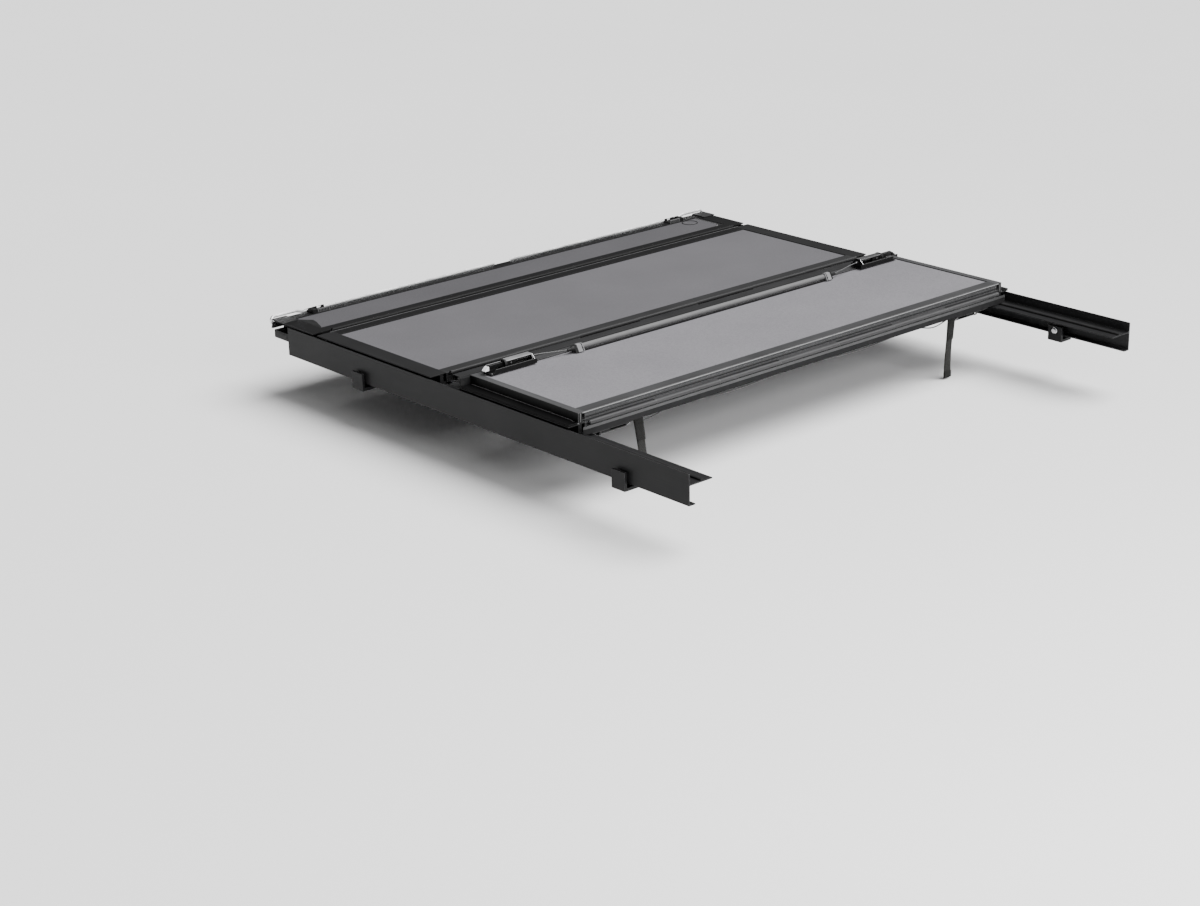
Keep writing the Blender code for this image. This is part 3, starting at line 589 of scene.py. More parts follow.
def webbing_finish(name, tone):
    """Woven polyester webbing: ribs across the strap and twill between them."""
    finish = Finish(name, (tone, tone, tone * 0.93), 0.84, sheen=0.06, specular=0.08)
    weave = finish.math("MULTIPLY", finish.bands(260, "X"), finish.bands(420, "Z"))
    finish.brighten(weave, 0.70, 1.45, 0.1, 0.9)
    finish.brighten(finish.noise(340, 3.0), 0.85, 1.2)
    finish.bump(weave, 0.0004, 0.8)
    finish.bump(finish.noise(2200, 2.0), 0.00008, 0.5)
    return finish.done()


def cable_finish():
    """A clear-coated steel cable: strands wound along it show as fine slanting lines."""
    finish = Finish("steel_cable", (0.085, 0.085, 0.087), 0.45, metallic=0.2, coat=0.1)
    strands = finish.bands(190, "DIAGONAL")
    finish.brighten(strands, 0.62, 1.12, 0.1, 0.9)
    finish.brighten(finish.noise(55, 4.0), 0.85, 1.1)
    finish.rough(strands, -0.04, 0.10)
    finish.bump(strands, 0.00025, 0.7)
    return finish.done()


# The bars are one coated extrusion; their colours and pale edges step up from the front panel's bars to the tail
# panel's as painted light, darker towards the cab and lighter towards the tail.
FRAME_ACROSS = extruded_finish("frame_across", "x", 0.0090, 0.08, 0.06)
LINK_ACROSS = extruded_finish("link_frame_across", "x", 0.0220, 0.12, 0.12)
FRAME_ALONG = extruded_finish("frame_along", "y", 0.0140, 0.06, 0.10)
TAIL_ACROSS = extruded_finish("tail_frame_across", "x", 0.040, 0.22, 0.16)
TAIL_ALONG = flanged_finish("tail_frame_along", 0.056, 0.14)
# The skins are one moulding; their tones step up from the front panel to the tail panel as painted light, darker
# towards the cab and lighter towards the tail.
SKINS = {
    "front_panel": skin_finish("front_skin", 0.069),
    "second_panel": skin_finish("second_skin", 0.100),
    "third_panel": skin_finish("third_skin", 0.102),
    "tail_panel": skin_finish("tail_skin", 0.168),
}
RAIL = rail_finish()
RUBBER = rubber_finish()
BLACK_PLASTIC = plastic_finish("black_moulding", 0.008, 0.50, 0.05)
GREY_PLASTIC = plastic_finish("grey_moulding", 0.095, 0.52, 0.45)
CAP_PLASTIC = plastic_finish("cap_moulding", 0.024, 0.52, 0.10)
PALE_PLASTIC = plastic_finish("pale_moulding", 0.19, 0.48, 0.40)
BLACK_STEEL = coated_steel("black_coated_steel", 0.004, 0.05)
GREY_STEEL = coated_steel("grey_coated_steel", 0.17, 0.42)
DULL_STEEL = coated_steel("dull_coated_steel", 0.055, 0.16)
TUBE_METAL = bright_metal("drawn_tube", 0.118, 0.72, "x", metallic=0.0)
ZINC = bright_metal("zinc_plate", 0.80, 0.26, None, 340)
WHITE_STEEL = bright_metal("bright_bolt_tip", 0.98, 0.50, None, 340, metallic=0.05)
DARK_WIRE = bright_metal("oiled_spring_wire", 0.16, 0.38, None, 340)
ROD_METAL = bright_metal("polished_rod", 0.90, 0.32, "x", metallic=0.75)
# Painted highlights: a bright and a dim grey for thin beads and strips that stand in for light on edges, ribs and
# bands.
BRIGHT_HIGHLIGHT = coated_steel("pale_trim", 0.20, 0.45)
DIM_HIGHLIGHT = coated_steel("mid_grey_trim", 0.055, 0.12)
WEBBING = webbing_finish("strap_webbing", 0.020)
DARK_WEBBING = webbing_finish("folded_webbing", 0.011)
CABLE = cable_finish()

# The CAD material that each finish stands for
SLOTS = {
    "black_plastic": (BLACK_PLASTIC,),
    "black_rubber": (RUBBER,),
    "grey_plastic": (GREY_PLASTIC, PALE_PLASTIC, BRIGHT_HIGHLIGHT, DIM_HIGHLIGHT),
    "latch_metal": (BLACK_STEEL, GREY_STEEL, DULL_STEEL),
    "webbing": (WEBBING, DARK_WEBBING),
    "zinc_steel": (ZINC, WHITE_STEEL, DARK_WIRE, CABLE),
}
SLOT_OF = {material.name: slot for slot, materials in SLOTS.items() for material in materials}


def dress(name, material, width):
    """Gives a CAD node its material and rounds its edges."""
    node = NODES[name]
    node.material_slots[0].material = material
    weld = node.modifiers.new("weld", "WELD")
    weld.merge_threshold = 0.00001
    node.data.shade_smooth()
    return soften(node, width)


def dress_all():
    """The CAD nodes that stay in view."""
    looks = (
        (FRAME_ACROSS, 0.0004, ("front_panel_frame", "second_panel_front_bar")),
        (LINK_ACROSS, 0.0005, ("second_panel_rear_bar", "link_bar", "third_panel_front_bar")),
        (TAIL_ACROSS, 0.0005, ("third_panel_rear_bar", "tail_panel_front_bar", "tail_panel_rear_bar")),
        (RAIL, 0.0005, ("header_rail",)),
        (RUBBER, 0.0004, ("header_seal",)),
        (RUBBER, 0.0006, ("tail_seal",)),
        (ZINC, 0.0003, ("front_hinge_pin", "link_front_pin", "link_rear_pin", "tail_hinge_pin")),
        (TUBE_METAL, 0.0004, ("release_tube",)),
    )
    for material, width, names in looks:
        for name in names:
            dress(name, material, width)
    for panel, material in SKINS.items():
        dress(f"{panel}_board", material, 0.0004)
    for _, word in SIDES:
        for panel in ("second_panel", "third_panel"):
            dress(f"{panel}_{word}_bar", FRAME_ALONG, 0.0004)
        dress(f"tail_panel_{word}_bar", TAIL_ALONG, 0.0004)
        dress(f"{word}_side_rail", RAIL, 0.0005)
        dress(f"{word}_rail_seal", RUBBER, 0.0004)
        dress(f"{word}_corner_cap", CAP_PLASTIC, 0.0005)
        dress(f"{word}_prop_rod", ROD_METAL, 0.0003)
        dress(f"{word}_rod_pivot_screw", ZINC, 0.0003)
        for number in (1, 2):
            dress(f"{word}_rail_clamp_{number}", RAIL, 0.0008)


# Latches. A latch's pieces are placed by how far out they lie from the middle of the cover, how far
# along the truck from the latch's middle, and how far away from the panel that carries it.


CHANNEL_SHEET = 0.0025
CHANNEL_HALF = 0.020
CHANNEL_BEND = 0.0022
LIP_HEIGHT = 0.0127
COVER_SPAN = (0.600, 0.6865)
COVER_SHEET = 0.0016
COVER_SECTION = (
    (-0.0132, 0.0034), (-0.0132, 0.0060), (-0.0132, 0.0170), (-0.0126, 0.0186), (-0.0102, 0.0230),
    (-0.0088, 0.0244), (-0.0060, 0.0249), (0.0060, 0.0249), (0.0088, 0.0244), (0.0102, 0.0230),
    (0.0126, 0.0186), (0.0132, 0.0170), (0.0132, 0.0060), (0.0132, 0.0034),
)
COVER_WINDOWS = (1, 2, 3, 9, 10, 11)
END_PLATE = (0.5985, 0.6003)
CARRIAGE_END = 0.684
CARRIAGE_HALF = 0.0090
NOSE_START = 0.682
NOSE_END = 0.7350
NOSE_HALF = 0.0048
TIP_START = 0.7345
TIP_HALF = 0.007
TIP_LIP = 0.0020
TIP_SLOPE = 0.0100
PIN_RADIUS = 0.0022
PIN_SPAN = (-0.0104, 0.0098)
PIN_CHAMFER = 0.0004
SCREW_OUT = 0.7322
SCREW_ALONG = 0.0125
SPRING_TURNS = 9
SPRING_RADIUS = 0.0034
SPRING_WIRE = 0.00065


def latch_frame(panel, word, side):
    """A latch's own frame, from the box of its housing."""
    low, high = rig.box(f"{panel}_{word}_latch_housing")
    up = 1 if panel == "tail_panel" else -1
    base = low.z if up > 0 else high.z
    mid = (low.y + high.y) / 2

    def place(out, along, away):
        return (side * out, mid + along, base + up * away)

    return place, base, up


def spans(node, side, base, up):
    """A node's extent in its latch's frame: outwards and away from the panel."""
    low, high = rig.box(node)
    out = sorted((side * low.x, side * high.x))
    away = sorted((up * (low.z - base), up * (high.z - base)))
    return out, away


def sheet(name, rows, thickness, material, body, skip=()):
    """Bent sheet metal: rows of points joined into faces, some left open, then thickened."""
    return soften(thickened(add(name, through(rows, skip), material, body, 60), thickness), 0.0003)


def latch_channel(name, place, body):
    """A base channel with rolled corners, whose lips taper off over the rail's ledge, with painted highlights along the
    lips' tops.
    """
    half = CHANNEL_HALF - CHANNEL_SHEET / 2
    middle = CHANNEL_SHEET / 2
    stops = (
        (0.5920, 0.0096), (0.5926, 0.0112), (0.5938, 0.0122), (0.5955, LIP_HEIGHT), (0.6600, LIP_HEIGHT),
        (0.7245, LIP_HEIGHT), (0.7262, 0.0056), (0.7375, 0.0037),
    )
    right = arc((half - CHANNEL_BEND, middle + CHANNEL_BEND), CHANNEL_BEND, 0, -90, 4)
    left = arc((-half + CHANNEL_BEND, middle + CHANNEL_BEND), CHANNEL_BEND, -90, -180, 4)
    rows = []
    for out, height in stops:
        section = [(half, height)] + right + left + [(-half, height)]
        rows.append([place(out, along, away) for along, away in section])
    # Painted highlights: thin pale beads along the tops of the channel's lips.
    for number, way in enumerate((-1, 1), start=1):
        bead = [place(out, way * half, LIP_HEIGHT + 0.0002) for out in (0.5965, 0.6600, 0.7235)]
        curve(f"{name}_bead_{number}", bead, 0.0006, DIM_HIGHLIGHT, body, 2, "latch_metal")
    return sheet(name, rows, CHANNEL_SHEET, BLACK_STEEL, body)


def grown(section, amount):
    """A latch section moved outwards from the middle of the cover."""
    centre = 0.012
    points = []
    for along, away in section:
        reach = math.hypot(along, away - centre)
        points.append((along * (1 + amount / reach), centre + (away - centre) * (1 + amount / reach)))
    return points


def latch_cover(name, place, material, body):
    """A folded cover with a long window in each side, a black sheet inside as painted shade, and a collar round its
    end.
    """
    start, end = COVER_SPAN
    margin = 0.003
    stops = (start, start + margin, (start + end) / 2, end - margin, end)
    rows = [[place(out, along, away) for along, away in COVER_SECTION] for out in stops]
    skip = {(row, column) for row in (1, 2) for column in COVER_WINDOWS}
    sheet(name, rows, COVER_SHEET, material, body, skip)
    # Painted shade: a black sheet just inside the cover darkens what shows through the windows.
    inset = grown(COVER_SECTION, -0.0013)[4:]
    rows = [[place(out, along, away) for along, away in inset] for out in (start + 0.002, end - 0.002)]
    sheet(f"{name}_painted_shade_sheet", rows, 0.0004, BLACK_PLASTIC, body)
    band = grown(COVER_SECTION, 0.0012)
    rows = [[place(out, along, away) for along, away in band] for out in (end - 0.004, end + 0.0024)]
    sheet(f"{name}_collar", rows, 0.0014, BLACK_STEEL, body)


def latch_end(name, place, body):
    """The end plate that the spring and the cable's ferrule rest on, with a rolled rim on each side: bright zinc on the
    rear one as a painted highlight, black steel on the front one.
    """
    half = CHANNEL_HALF - CHANNEL_SHEET - 0.0004
    wide = 0.0203
    shoulder = LIP_HEIGHT + 0.0006
    top = (0.0078, 0.0252)
    right = [(half, CHANNEL_SHEET), (half, shoulder - 0.0008), (wide, shoulder), top]
    outline = right + [(-along, away) for along, away in reversed(right)]
    solid(name, outline, END_PLATE, lambda a, b, c: place(c, a, b), BLACK_STEEL, body, 0.0004)
    out = sum(END_PLATE) / 2
    # Painted highlight: the rear rim is bright zinc, the front rim black steel.
    for number, (way, material) in enumerate(((-1, ZINC), (1, BLACK_STEEL)), start=1):
        rim = [(way * (wide - 0.0002), shoulder), (way * top[0], top[1] - 0.0002)]
        points = [place(out, along, away) for along, away in rim]
        curve(f"{name}_rim_{number}", points, 0.0007, material, body, 4, "zinc_steel")


def latch_bolt(name, place, out, away, tip_material, body):
    """The bolt: a carriage and nose in black with a painted highlight along the nose, a bevelled tip and a cross pin.
    """
    low, high = away
    surface = bmesh.new()
    outline = rounded((-NOSE_HALF, low + 0.0014), (NOSE_HALF, high), 0.0014)
    prism(surface, outline, NOSE_START, NOSE_END, lambda a, b, c: place(c, a, b))
    outline = rounded((out[0], -CARRIAGE_HALF), (CARRIAGE_END, CARRIAGE_HALF), 0.0018)
    prism(surface, outline, low, high, place)
    bolt = soften(add(name, surface, BLACK_STEEL, body), 0.0006)
    # Painted highlight: a pale bead along the top edge of the nose.
    bead = [place(x, 0.0036, high) for x in (0.6900, 0.7100, NOSE_END)]
    curve(f"{name}_nose_highlight", bead, 0.0007, BRIGHT_HIGHLIGHT, body, 2, "latch_metal")
    tip_low = low - 0.0003
    tip_high = high - 0.0022
    tip = [
        (TIP_START, tip_low),
        (out[1], tip_low),
        (out[1], tip_low + TIP_LIP),
        (out[1] - TIP_SLOPE, tip_high),
        (TIP_START, tip_high),
    ]
    solid(f"{name}_tip", tip, (-TIP_HALF, TIP_HALF), lambda a, b, c: place(a, c, b),
          tip_material, body, 0.0012, 3, "zinc_steel")
    centre = (low + high) / 2
    middle = (out[0] + CARRIAGE_END) / 2
    start, end = PIN_SPAN
    face = PIN_RADIUS - PIN_CHAMFER
    pin = [(0.0, start), (face, start), (PIN_RADIUS, start + PIN_CHAMFER),
           (PIN_RADIUS, end - PIN_CHAMFER), (face, end), (0.0, end)]
    turned(f"{name}_cross_pin", pin, lambda a, b, c: place(middle + a, c, centre + b), 16,
           DARK_WIRE, body)
    return bolt


def latch_spring(name, place, start, end, height, body):
    """A compression spring between the end plate and the carriage."""
    per_turn = 20
    steps = SPRING_TURNS * per_turn
    points = []
    for step in range(steps + 1):
        angle = 2 * math.pi * step / per_turn
        out = start + (end - start) * step / steps
        points.append(place(out, SPRING_RADIUS * math.cos(angle), height + SPRING_RADIUS * math.sin(angle)))
    return as_mesh(curve(name, points, SPRING_WIRE, DARK_WIRE, body, 2))


def as_mesh(item):
    """An item turned into a plain mesh of the same name, with its modifiers applied."""
    name = item.name
    body = item["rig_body"]
    slot = item["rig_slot"]
    material = item.data.materials[0]
    graph = bpy.context.evaluated_depsgraph_get()
    mesh = bpy.data.meshes.new_from_object(item.evaluated_get(graph))
    bpy.data.objects.remove(item, do_unlink=True)
    mesh.name = name
    mesh.materials.clear()
    mesh.materials.append(material)
    made = link(bpy.data.objects.new(name, mesh))
    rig.ride(made, body)
    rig.slot(made, slot)
    return made


def screw_head(name, place, radius, height, body, material=ZINC):
    """A domed screw head with a socket; its height runs along place's third value."""
    profile = [(0.0, 0.0), (radius, 0.0), (radius, height * 0.30)]
    for x, y in arc((0, 0), 1, 0, 72, 5)[1:]:
        profile.append((radius * (0.30 + 0.70 * x), height * (0.30 + 0.70 * y)))
    profile += [(radius * 0.46, height * 0.97), (radius * 0.42, height * 0.45), (0.0, height * 0.35)]
    return turned(name, profile, place, 18, material, body)


def latch(panel, word, side):
    """One latch: channel, cover, end plate, bolt, spring, ferrule and screws."""
    name = f"{panel}_{word}_latch"
    short = panel.split("_")[0]
    joint = f"{short}_{word}_latch_slide"
    place, base, up = latch_frame(panel, word, side)
    channel = latch_channel(f"{name}_channel", place, panel)
    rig.replaces(channel, f"{name}_housing")
    pale = side < 0 and panel == "tail_panel"
    latch_cover(f"{name}_cover", place, GREY_STEEL if pale else DULL_STEEL, panel)
    latch_end(f"{name}_end_plate", place, panel)
    out, away = spans(f"{name}_bolt", side, base, up)
    tip_material = WHITE_STEEL if pale else BLACK_STEEL
    bolt = latch_bolt(f"{name}_bolt_body", place, out, away, tip_material, f"{short}_{word}_bolt")
    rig.replaces(bolt, f"{name}_bolt")
    height = sum(away) / 2
    spring = latch_spring(f"{name}_coil", place, END_PLATE[1] + 0.0012, out[0] - 0.0010, height, panel)
    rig.replaces(spring, f"{name}_spring")
    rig.squash(spring, joint, axis=(1, 0, 0), anchor=place(END_PLATE[1], 0, height), keep=0.56)
    ferrule = [(0.0, 0.0), (0.0034, 0.0), (0.0034, 0.0030), (0.0026, 0.0036), (0.0026, 0.0090),
               (0.0021, 0.0098), (0.0, 0.0098)]
    turned(f"{name}_ferrule", ferrule, lambda a, b, c: place(END_PLATE[0] - c, a, height + b), 16,
           DARK_WIRE, panel)
    for number, along in enumerate((-SCREW_ALONG, SCREW_ALONG), start=1):
        screw_head(f"{name}_screw_{number}",
                   lambda a, b, c: place(SCREW_OUT + a, along + b, CHANNEL_SHEET + c),
                   0.0030, 0.0017, panel, DARK_WIRE)


# The tail panel's release


TUBE_END = 0.470
SHADE_HOOD_GAP = 0.0004


def release_clips():
    """Pale saddles over the release tube, each with a black web, a collar, a boot, and a black hood over the tube
    beside the saddle as painted shade.
    """
    _, mid, height = centre_of("release_tube")
    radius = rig.box("release_tube")[1].z - height + 0.0004
    shoulder = height + radius + 0.0014
    crown = height + radius + 0.0022
    boot = [(0.0019, 0.0), (0.0080, 0.0), (0.0080, 0.0020), (0.0052, 0.0070), (0.0036, 0.0150),
            (0.0030, 0.0190), (0.0019, 0.0190)]
    for side, word in SIDES:
        node = f"release_tube_{word}_clip"
        low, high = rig.box(node)
        foot = low.z
        inner, outer = sorted((abs(low.x), abs(high.x)))
        outline = [(mid - 0.0145, foot), (mid - radius, foot), (mid - radius, height)]
        outline += arc((mid, height), radius, 180, 0, 14)[1:-1]
        outline += [
            (mid + radius, height),
            (mid + radius, foot),
            (mid + 0.0125, foot),
            (mid + 0.0125, foot + 0.0022),
            (mid + 0.0052, shoulder),
            (mid + 0.0034, crown),
            (mid - 0.0034, crown),
            (mid - 0.0052, shoulder),
            (mid - 0.0145, foot + 0.0022),
        ]
        saddle = solid(f"{node}_saddle", outline, mirrored(side, outer - 0.0145, outer - 0.0005), across,
                       PALE_PLASTIC, "tail_panel", 0.0006)
        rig.replaces(saddle, node)
        solid(f"{node}_collar", outline, mirrored(side, inner + 0.0060, inner + 0.0088), across,
              PALE_PLASTIC, "tail_panel", 0.0005)
        web = rounded((mid - 0.0122, foot), (mid - radius - 0.0004, height + 0.0010), 0.0010)
        solid(f"{node}_web", web, mirrored(side, inner + 0.0086, outer - 0.0143), across,
              BLACK_PLASTIC, "tail_panel", 0.0003)
        turned(f"{node}_boot", boot, lambda a, b, c: (side * (TUBE_END + 0.0003 + c), mid + a, height + b),
               20, BLACK_PLASTIC, "tail_panel")
        # Painted shade: a black hood over the tube, between the saddle and the tube's end, stands in for the shade
        # inside the clip.
        shade_hood = [(mid + 0.0110, foot), (mid + 0.0046, height + radius),
                  (mid - 0.0046, height + radius), (mid - 0.0120, foot)]
        ends = mirrored(side, outer + SHADE_HOOD_GAP, TUBE_END - SHADE_HOOD_GAP)
        rows = [[(x, y, z) for y, z in shade_hood] for x in ends]
        sheet(f"{node}_shroud", rows, 0.0008, BLACK_PLASTIC, "tail_panel")


def tail_cable():
    """The cable from one latch to the other, through the release tube."""
    low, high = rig.box("tail_release_cable")
    _, mid, height = centre_of("release_tube")
    _, latch_mid, latch_height = centre_of("tail_panel_left_latch_bolt")
    steps = 120
    points = []
    for step in range(steps + 1):
        x = low.x + (high.x - low.x) * step / steps
        share = smooth_step((abs(x) - TUBE_END) / (high.x - TUBE_END))
        points.append((x, mid + (latch_mid - mid) * share, height + (latch_height - height) * share))
    made = curve("tail_release_wire", points, 0.0015, CABLE, "tail_panel", 3)
    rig.replaces(made, "tail_release_cable")


# Under the third panel


HANGER_PLACES = (-0.450, 0.0, 0.450)


def third_cable():
    """The drooping cable between the third panel's latches, and the hangers that hold it."""
    low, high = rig.box("third_release_cable")
    height = centre_of("third_panel_left_latch_bolt").z
    mid = centre_of("third_release_cable").y
    hold = HANGER_PLACES[2]
    outer_droop = 0.012
    inner_droop = 0.008
    steps = 160
    points = []
    for step in range(steps + 1):
        x = low.x + (high.x - low.x) * step / steps
        if abs(x) > hold:
            share, droop = (abs(x) - hold) / (high.x - hold), outer_droop
        else:
            share, droop = abs(x) / hold, inner_droop
        points.append((x, mid, height - droop * math.sin(math.pi * share) ** 2))
    made = curve("third_release_wire", points, 0.0015, CABLE, "third_panel", 3)
    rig.replaces(made, "third_release_cable")
    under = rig.box("third_panel_board")[0].z - 0.0002
    for number, x in enumerate(HANGER_PLACES, start=1):
        cable_hanger(f"cable_hanger_{number}", x, mid, height, under)


def cable_hanger(name, x, mid, height, under):
    """A P-clip: a band round the cable, a leg up to the board, and a foot with a screw."""
    inner = 0.0018
    outer = 0.0034
    leg = outer - inner
    reach = 0.017
    span = (x - 0.005, x + 0.005)
    band = arc((mid, height), outer, 60, 340, 20) + arc((mid, height), inner, 340, 60, 20)
    solid(f"{name}_band", band, span, across, BLACK_PLASTIC, "third_panel", 0.0003)
    rise = [
        (mid + inner, height + 0.0028),
        (mid + outer, height + 0.0028),
        (mid + outer, under - leg),
        (mid + reach, under - leg),
        (mid + reach, under),
        (mid + inner, under),
    ]
    solid(f"{name}_foot", rise, span, across, BLACK_PLASTIC, "third_panel", 0.0004)
    screw_head(f"{name}_screw", lambda a, b, c: (x + a, mid + 0.0115 + b, under - leg - c),
               0.0034, 0.0020, "third_panel")


def strap_plates():
    """A small bright plate on each third latch's rear lip, beside the strap."""
    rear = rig.box("third_panel_left_latch_housing")[0].y
    outline = rounded((0.5895, 0.0135), (0.6050, 0.0205), 0.0012)
    for side, word in SIDES:
        solid(f"third_panel_{word}_strap_plate", outline, (rear - 0.0010, rear - 0.0001),
              lambda a, b, c: (side * a, c, b), ZINC, "third_panel", 0.0002)


STRAP_WIDTH = 0.028
STRAP_THICK = 0.0015
RIBBON_ROWS = 44
RIBBON_COLUMNS = 6


def strap_line(node):
    """The middles of a strap's top and bottom edges."""
    item = NODES[node]
    points = [item.matrix_world @ vertex.co for vertex in item.data.vertices]
    ends = []
    for height in (max(point.z for point in points), min(point.z for point in points)):
        row = [point for point in points if abs(point.z - height) < 0.0005]
        ends.append(sum(row, Vector()) / len(row))
    return ends


def ribbon(name, line, span, lift, half_width, material):
    """Part of a hanging strap, between two shares of its length."""
    top, bottom = line
    rows = []
    for row in range(RIBBON_ROWS + 1):
        share = span[0] + (span[1] - span[0]) * row / RIBBON_ROWS
        middle = top.lerp(bottom, share)
        middle.x += 0.0016 * math.sin(math.pi * share * 1.6) * share
        middle.y += 0.0030 * math.sin(math.pi * 1.3 * share) * share + lift
        twist = math.radians(7) * math.sin(math.pi * share)
        points = []
        for column in range(RIBBON_COLUMNS + 1):
            place = (column / RIBBON_COLUMNS * 2 - 1) * half_width
            depth = place * math.sin(twist) - 0.0006 * (1 - (place / half_width) ** 2)
            points.append((middle.x + place * math.cos(twist), middle.y + depth, middle.z))
        rows.append(points)
    return hung(thickened(add(name, through(rows), material, "third_panel", 60), STRAP_THICK), top)


def hung(item, top):
    """A strap's piece, which draws up towards the strap's top as the third panel folds."""
    made = as_mesh(item)
    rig.squash(made, "third_panel_fold", axis=(0, 0, 1), anchor=tuple(top), keep=0.10)
    return made


def strap_stitches(name, line, shares, lift):
    """Rows of thread across a strap's folded ends."""
    top, bottom = line
    surface = bmesh.new()
    for share in shares:
        middle = top.lerp(bottom, share)
        for column in range(-5, 6):
            x = middle.x + column * 0.0021
            outline = rounded((x - 0.0007, middle.z - 0.0003), (x + 0.0007, middle.z + 0.0003), 0.00025, 2)
            prism(surface, outline, middle.y + lift - 0.0006, middle.y + lift, lambda a, b, c: (a, c, b))
    return hung(add(name, surface, WEBBING, "third_panel"), top)


def pull_strap(word):
    """A webbing strap: doubled and sewn at the top, with a turned hem at the bottom."""
    node = f"{word}_pull_strap"
    line = strap_line(node)
    half = STRAP_WIDTH / 2
    webbing = ribbon(f"{node}_webbing", line, (0.0, 1.0), 0.0, half, WEBBING)
    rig.replaces(webbing, node)
    doubled = ribbon(f"{node}_doubled_top", line, (0.0, 0.40), -0.0018, half + 0.0012, DARK_WEBBING)
    hem = ribbon(f"{node}_hem", line, (0.90, 0.998), -0.0018, half + 0.0004, DARK_WEBBING)
    stitches = strap_stitches(f"{node}_stitches", line, (0.06, 0.33, 0.36), -0.0030)
    flat_size = (STRAP_WIDTH, (line[0] - line[1]).length)
    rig.sheet(webbing, flat=flat_size, held="hung", rests_on=["third_panel_rear_bar"],
             with_pieces=[doubled, hem, stitches])


# The front edge


ROD_Y = 0.0375
ROD_Z = 0.0485
CLIP_FLOOR = 0.0483
CLIP_TOP = CLIP_FLOOR + 0.0102
CLIP_LEDGE = CLIP_FLOOR + 0.0052
CLIP_BACK = 0.0262
CLIP_EDGE = 0.0300
CLIP_SPLIT = 0.6745
CUP_RADII = (0.0044, 0.0066)
RIBS = 7
RIB_PITCH = 0.0049


def rod_clips():
    """A black block beside an open fork: a ribbed grey ridge and two black prongs under the rod."""
    centre = (ROD_Y, ROD_Z)
    cup_inner, cup_outer = CUP_RADII
    cup = arc(centre, cup_outer, 180, 360, 10)
    cup += [(ROD_Y + cup_outer, ROD_Z + 0.003), (ROD_Y + cup_inner, ROD_Z + 0.003)]
    cup += arc(centre, cup_inner, 360, 180, 10)
    ledge = [(CLIP_EDGE, CLIP_LEDGE), (CLIP_BACK, CLIP_LEDGE), (CLIP_BACK, CLIP_TOP), (0.0, CLIP_TOP)]
    block = [(0.0, CLIP_FLOOR)] + cup + ledge
    base = [(0.0038, CLIP_FLOOR), (0.0306, CLIP_FLOOR),
            (0.0306, CLIP_FLOOR + 0.0026), (0.0038, CLIP_FLOOR + 0.0026)]
    prong = [(CLIP_BACK - 0.0008, CLIP_FLOOR)] + cup
    prong += [(CLIP_EDGE, CLIP_LEDGE), (0.0296, CLIP_TOP - 0.0008), (CLIP_BACK - 0.0008, CLIP_TOP - 0.0004)]
    ridge = rounded((0.0, CLIP_FLOOR), (0.0040, CLIP_TOP), 0.0008)
    rib = [(-0.0006, CLIP_FLOOR + 0.0014), (0.0004, CLIP_FLOOR + 0.0014),
           (0.0004, CLIP_TOP - 0.0022), (-0.0006, CLIP_TOP - 0.0022)]
    for side, word in SIDES:
        node = f"{word}_rod_clip"
        low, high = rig.box(node)
        inner, outer = sorted((abs(low.x), abs(high.x)))
        pieces = (
            ("block", block, (CLIP_SPLIT + 0.0006, outer), BLACK_PLASTIC),
            ("base", base, (inner + 0.0003, CLIP_SPLIT), BLACK_PLASTIC),
            ("outer_prong", prong, (0.6600, CLIP_SPLIT - 0.0010), BLACK_PLASTIC),
            ("inner_prong", prong, (inner + 0.0020, inner + 0.0105), BLACK_PLASTIC),
            ("ridge", ridge, (inner, CLIP_SPLIT - 0.0004), GREY_PLASTIC),
        )
        for part, outline, span, material in pieces:
            made = solid(f"{node}_{part}", outline, mirrored(side, *span), across, material, "base", 0.0004)
            if part == "block":
                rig.replaces(made, node)
        surface = bmesh.new()
        for number in range(RIBS):
            x = inner + 0.0042 + number * RIB_PITCH
            prism(surface, rib, *mirrored(side, x, x + 0.0020), across)
        soften(add(f"{node}_ribs", surface, BLACK_PLASTIC, "base", slot="grey_plastic"), 0.0002)


def header_caps():
    """Moulded caps that close the header rail's ends, each with a raised middle."""
    low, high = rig.box("header_rail")
    outer = rounded((low.y + 0.0004, low.z + 0.0004), (high.y - 0.0004, high.z - 0.0004), 0.0020)
    raised = rounded((low.y + 0.0060, low.z + 0.0050), (high.y - 0.0060, high.z - 0.0050), 0.0030)
    for side, word in SIDES:
        surface = bmesh.new()
        prism(surface, outer, *mirrored(side, high.x + 0.0001, high.x + 0.0014), across)
        prism(surface, raised, *mirrored(side, high.x + 0.0013, high.x + 0.0022), across)
        soften(add(f"header_{word}_end_cap", surface, BLACK_PLASTIC, "base"), 0.0004)


SKIN_END = 0.7473
SKIN_REAR = -0.1172
INLAY_START = -0.0040
INLAY_EDGE = 0.7360
INLAY_CORNER = 0.020
RING_CENTRE = (0.6895, -0.0277)
RING_RADIUS = 0.0235


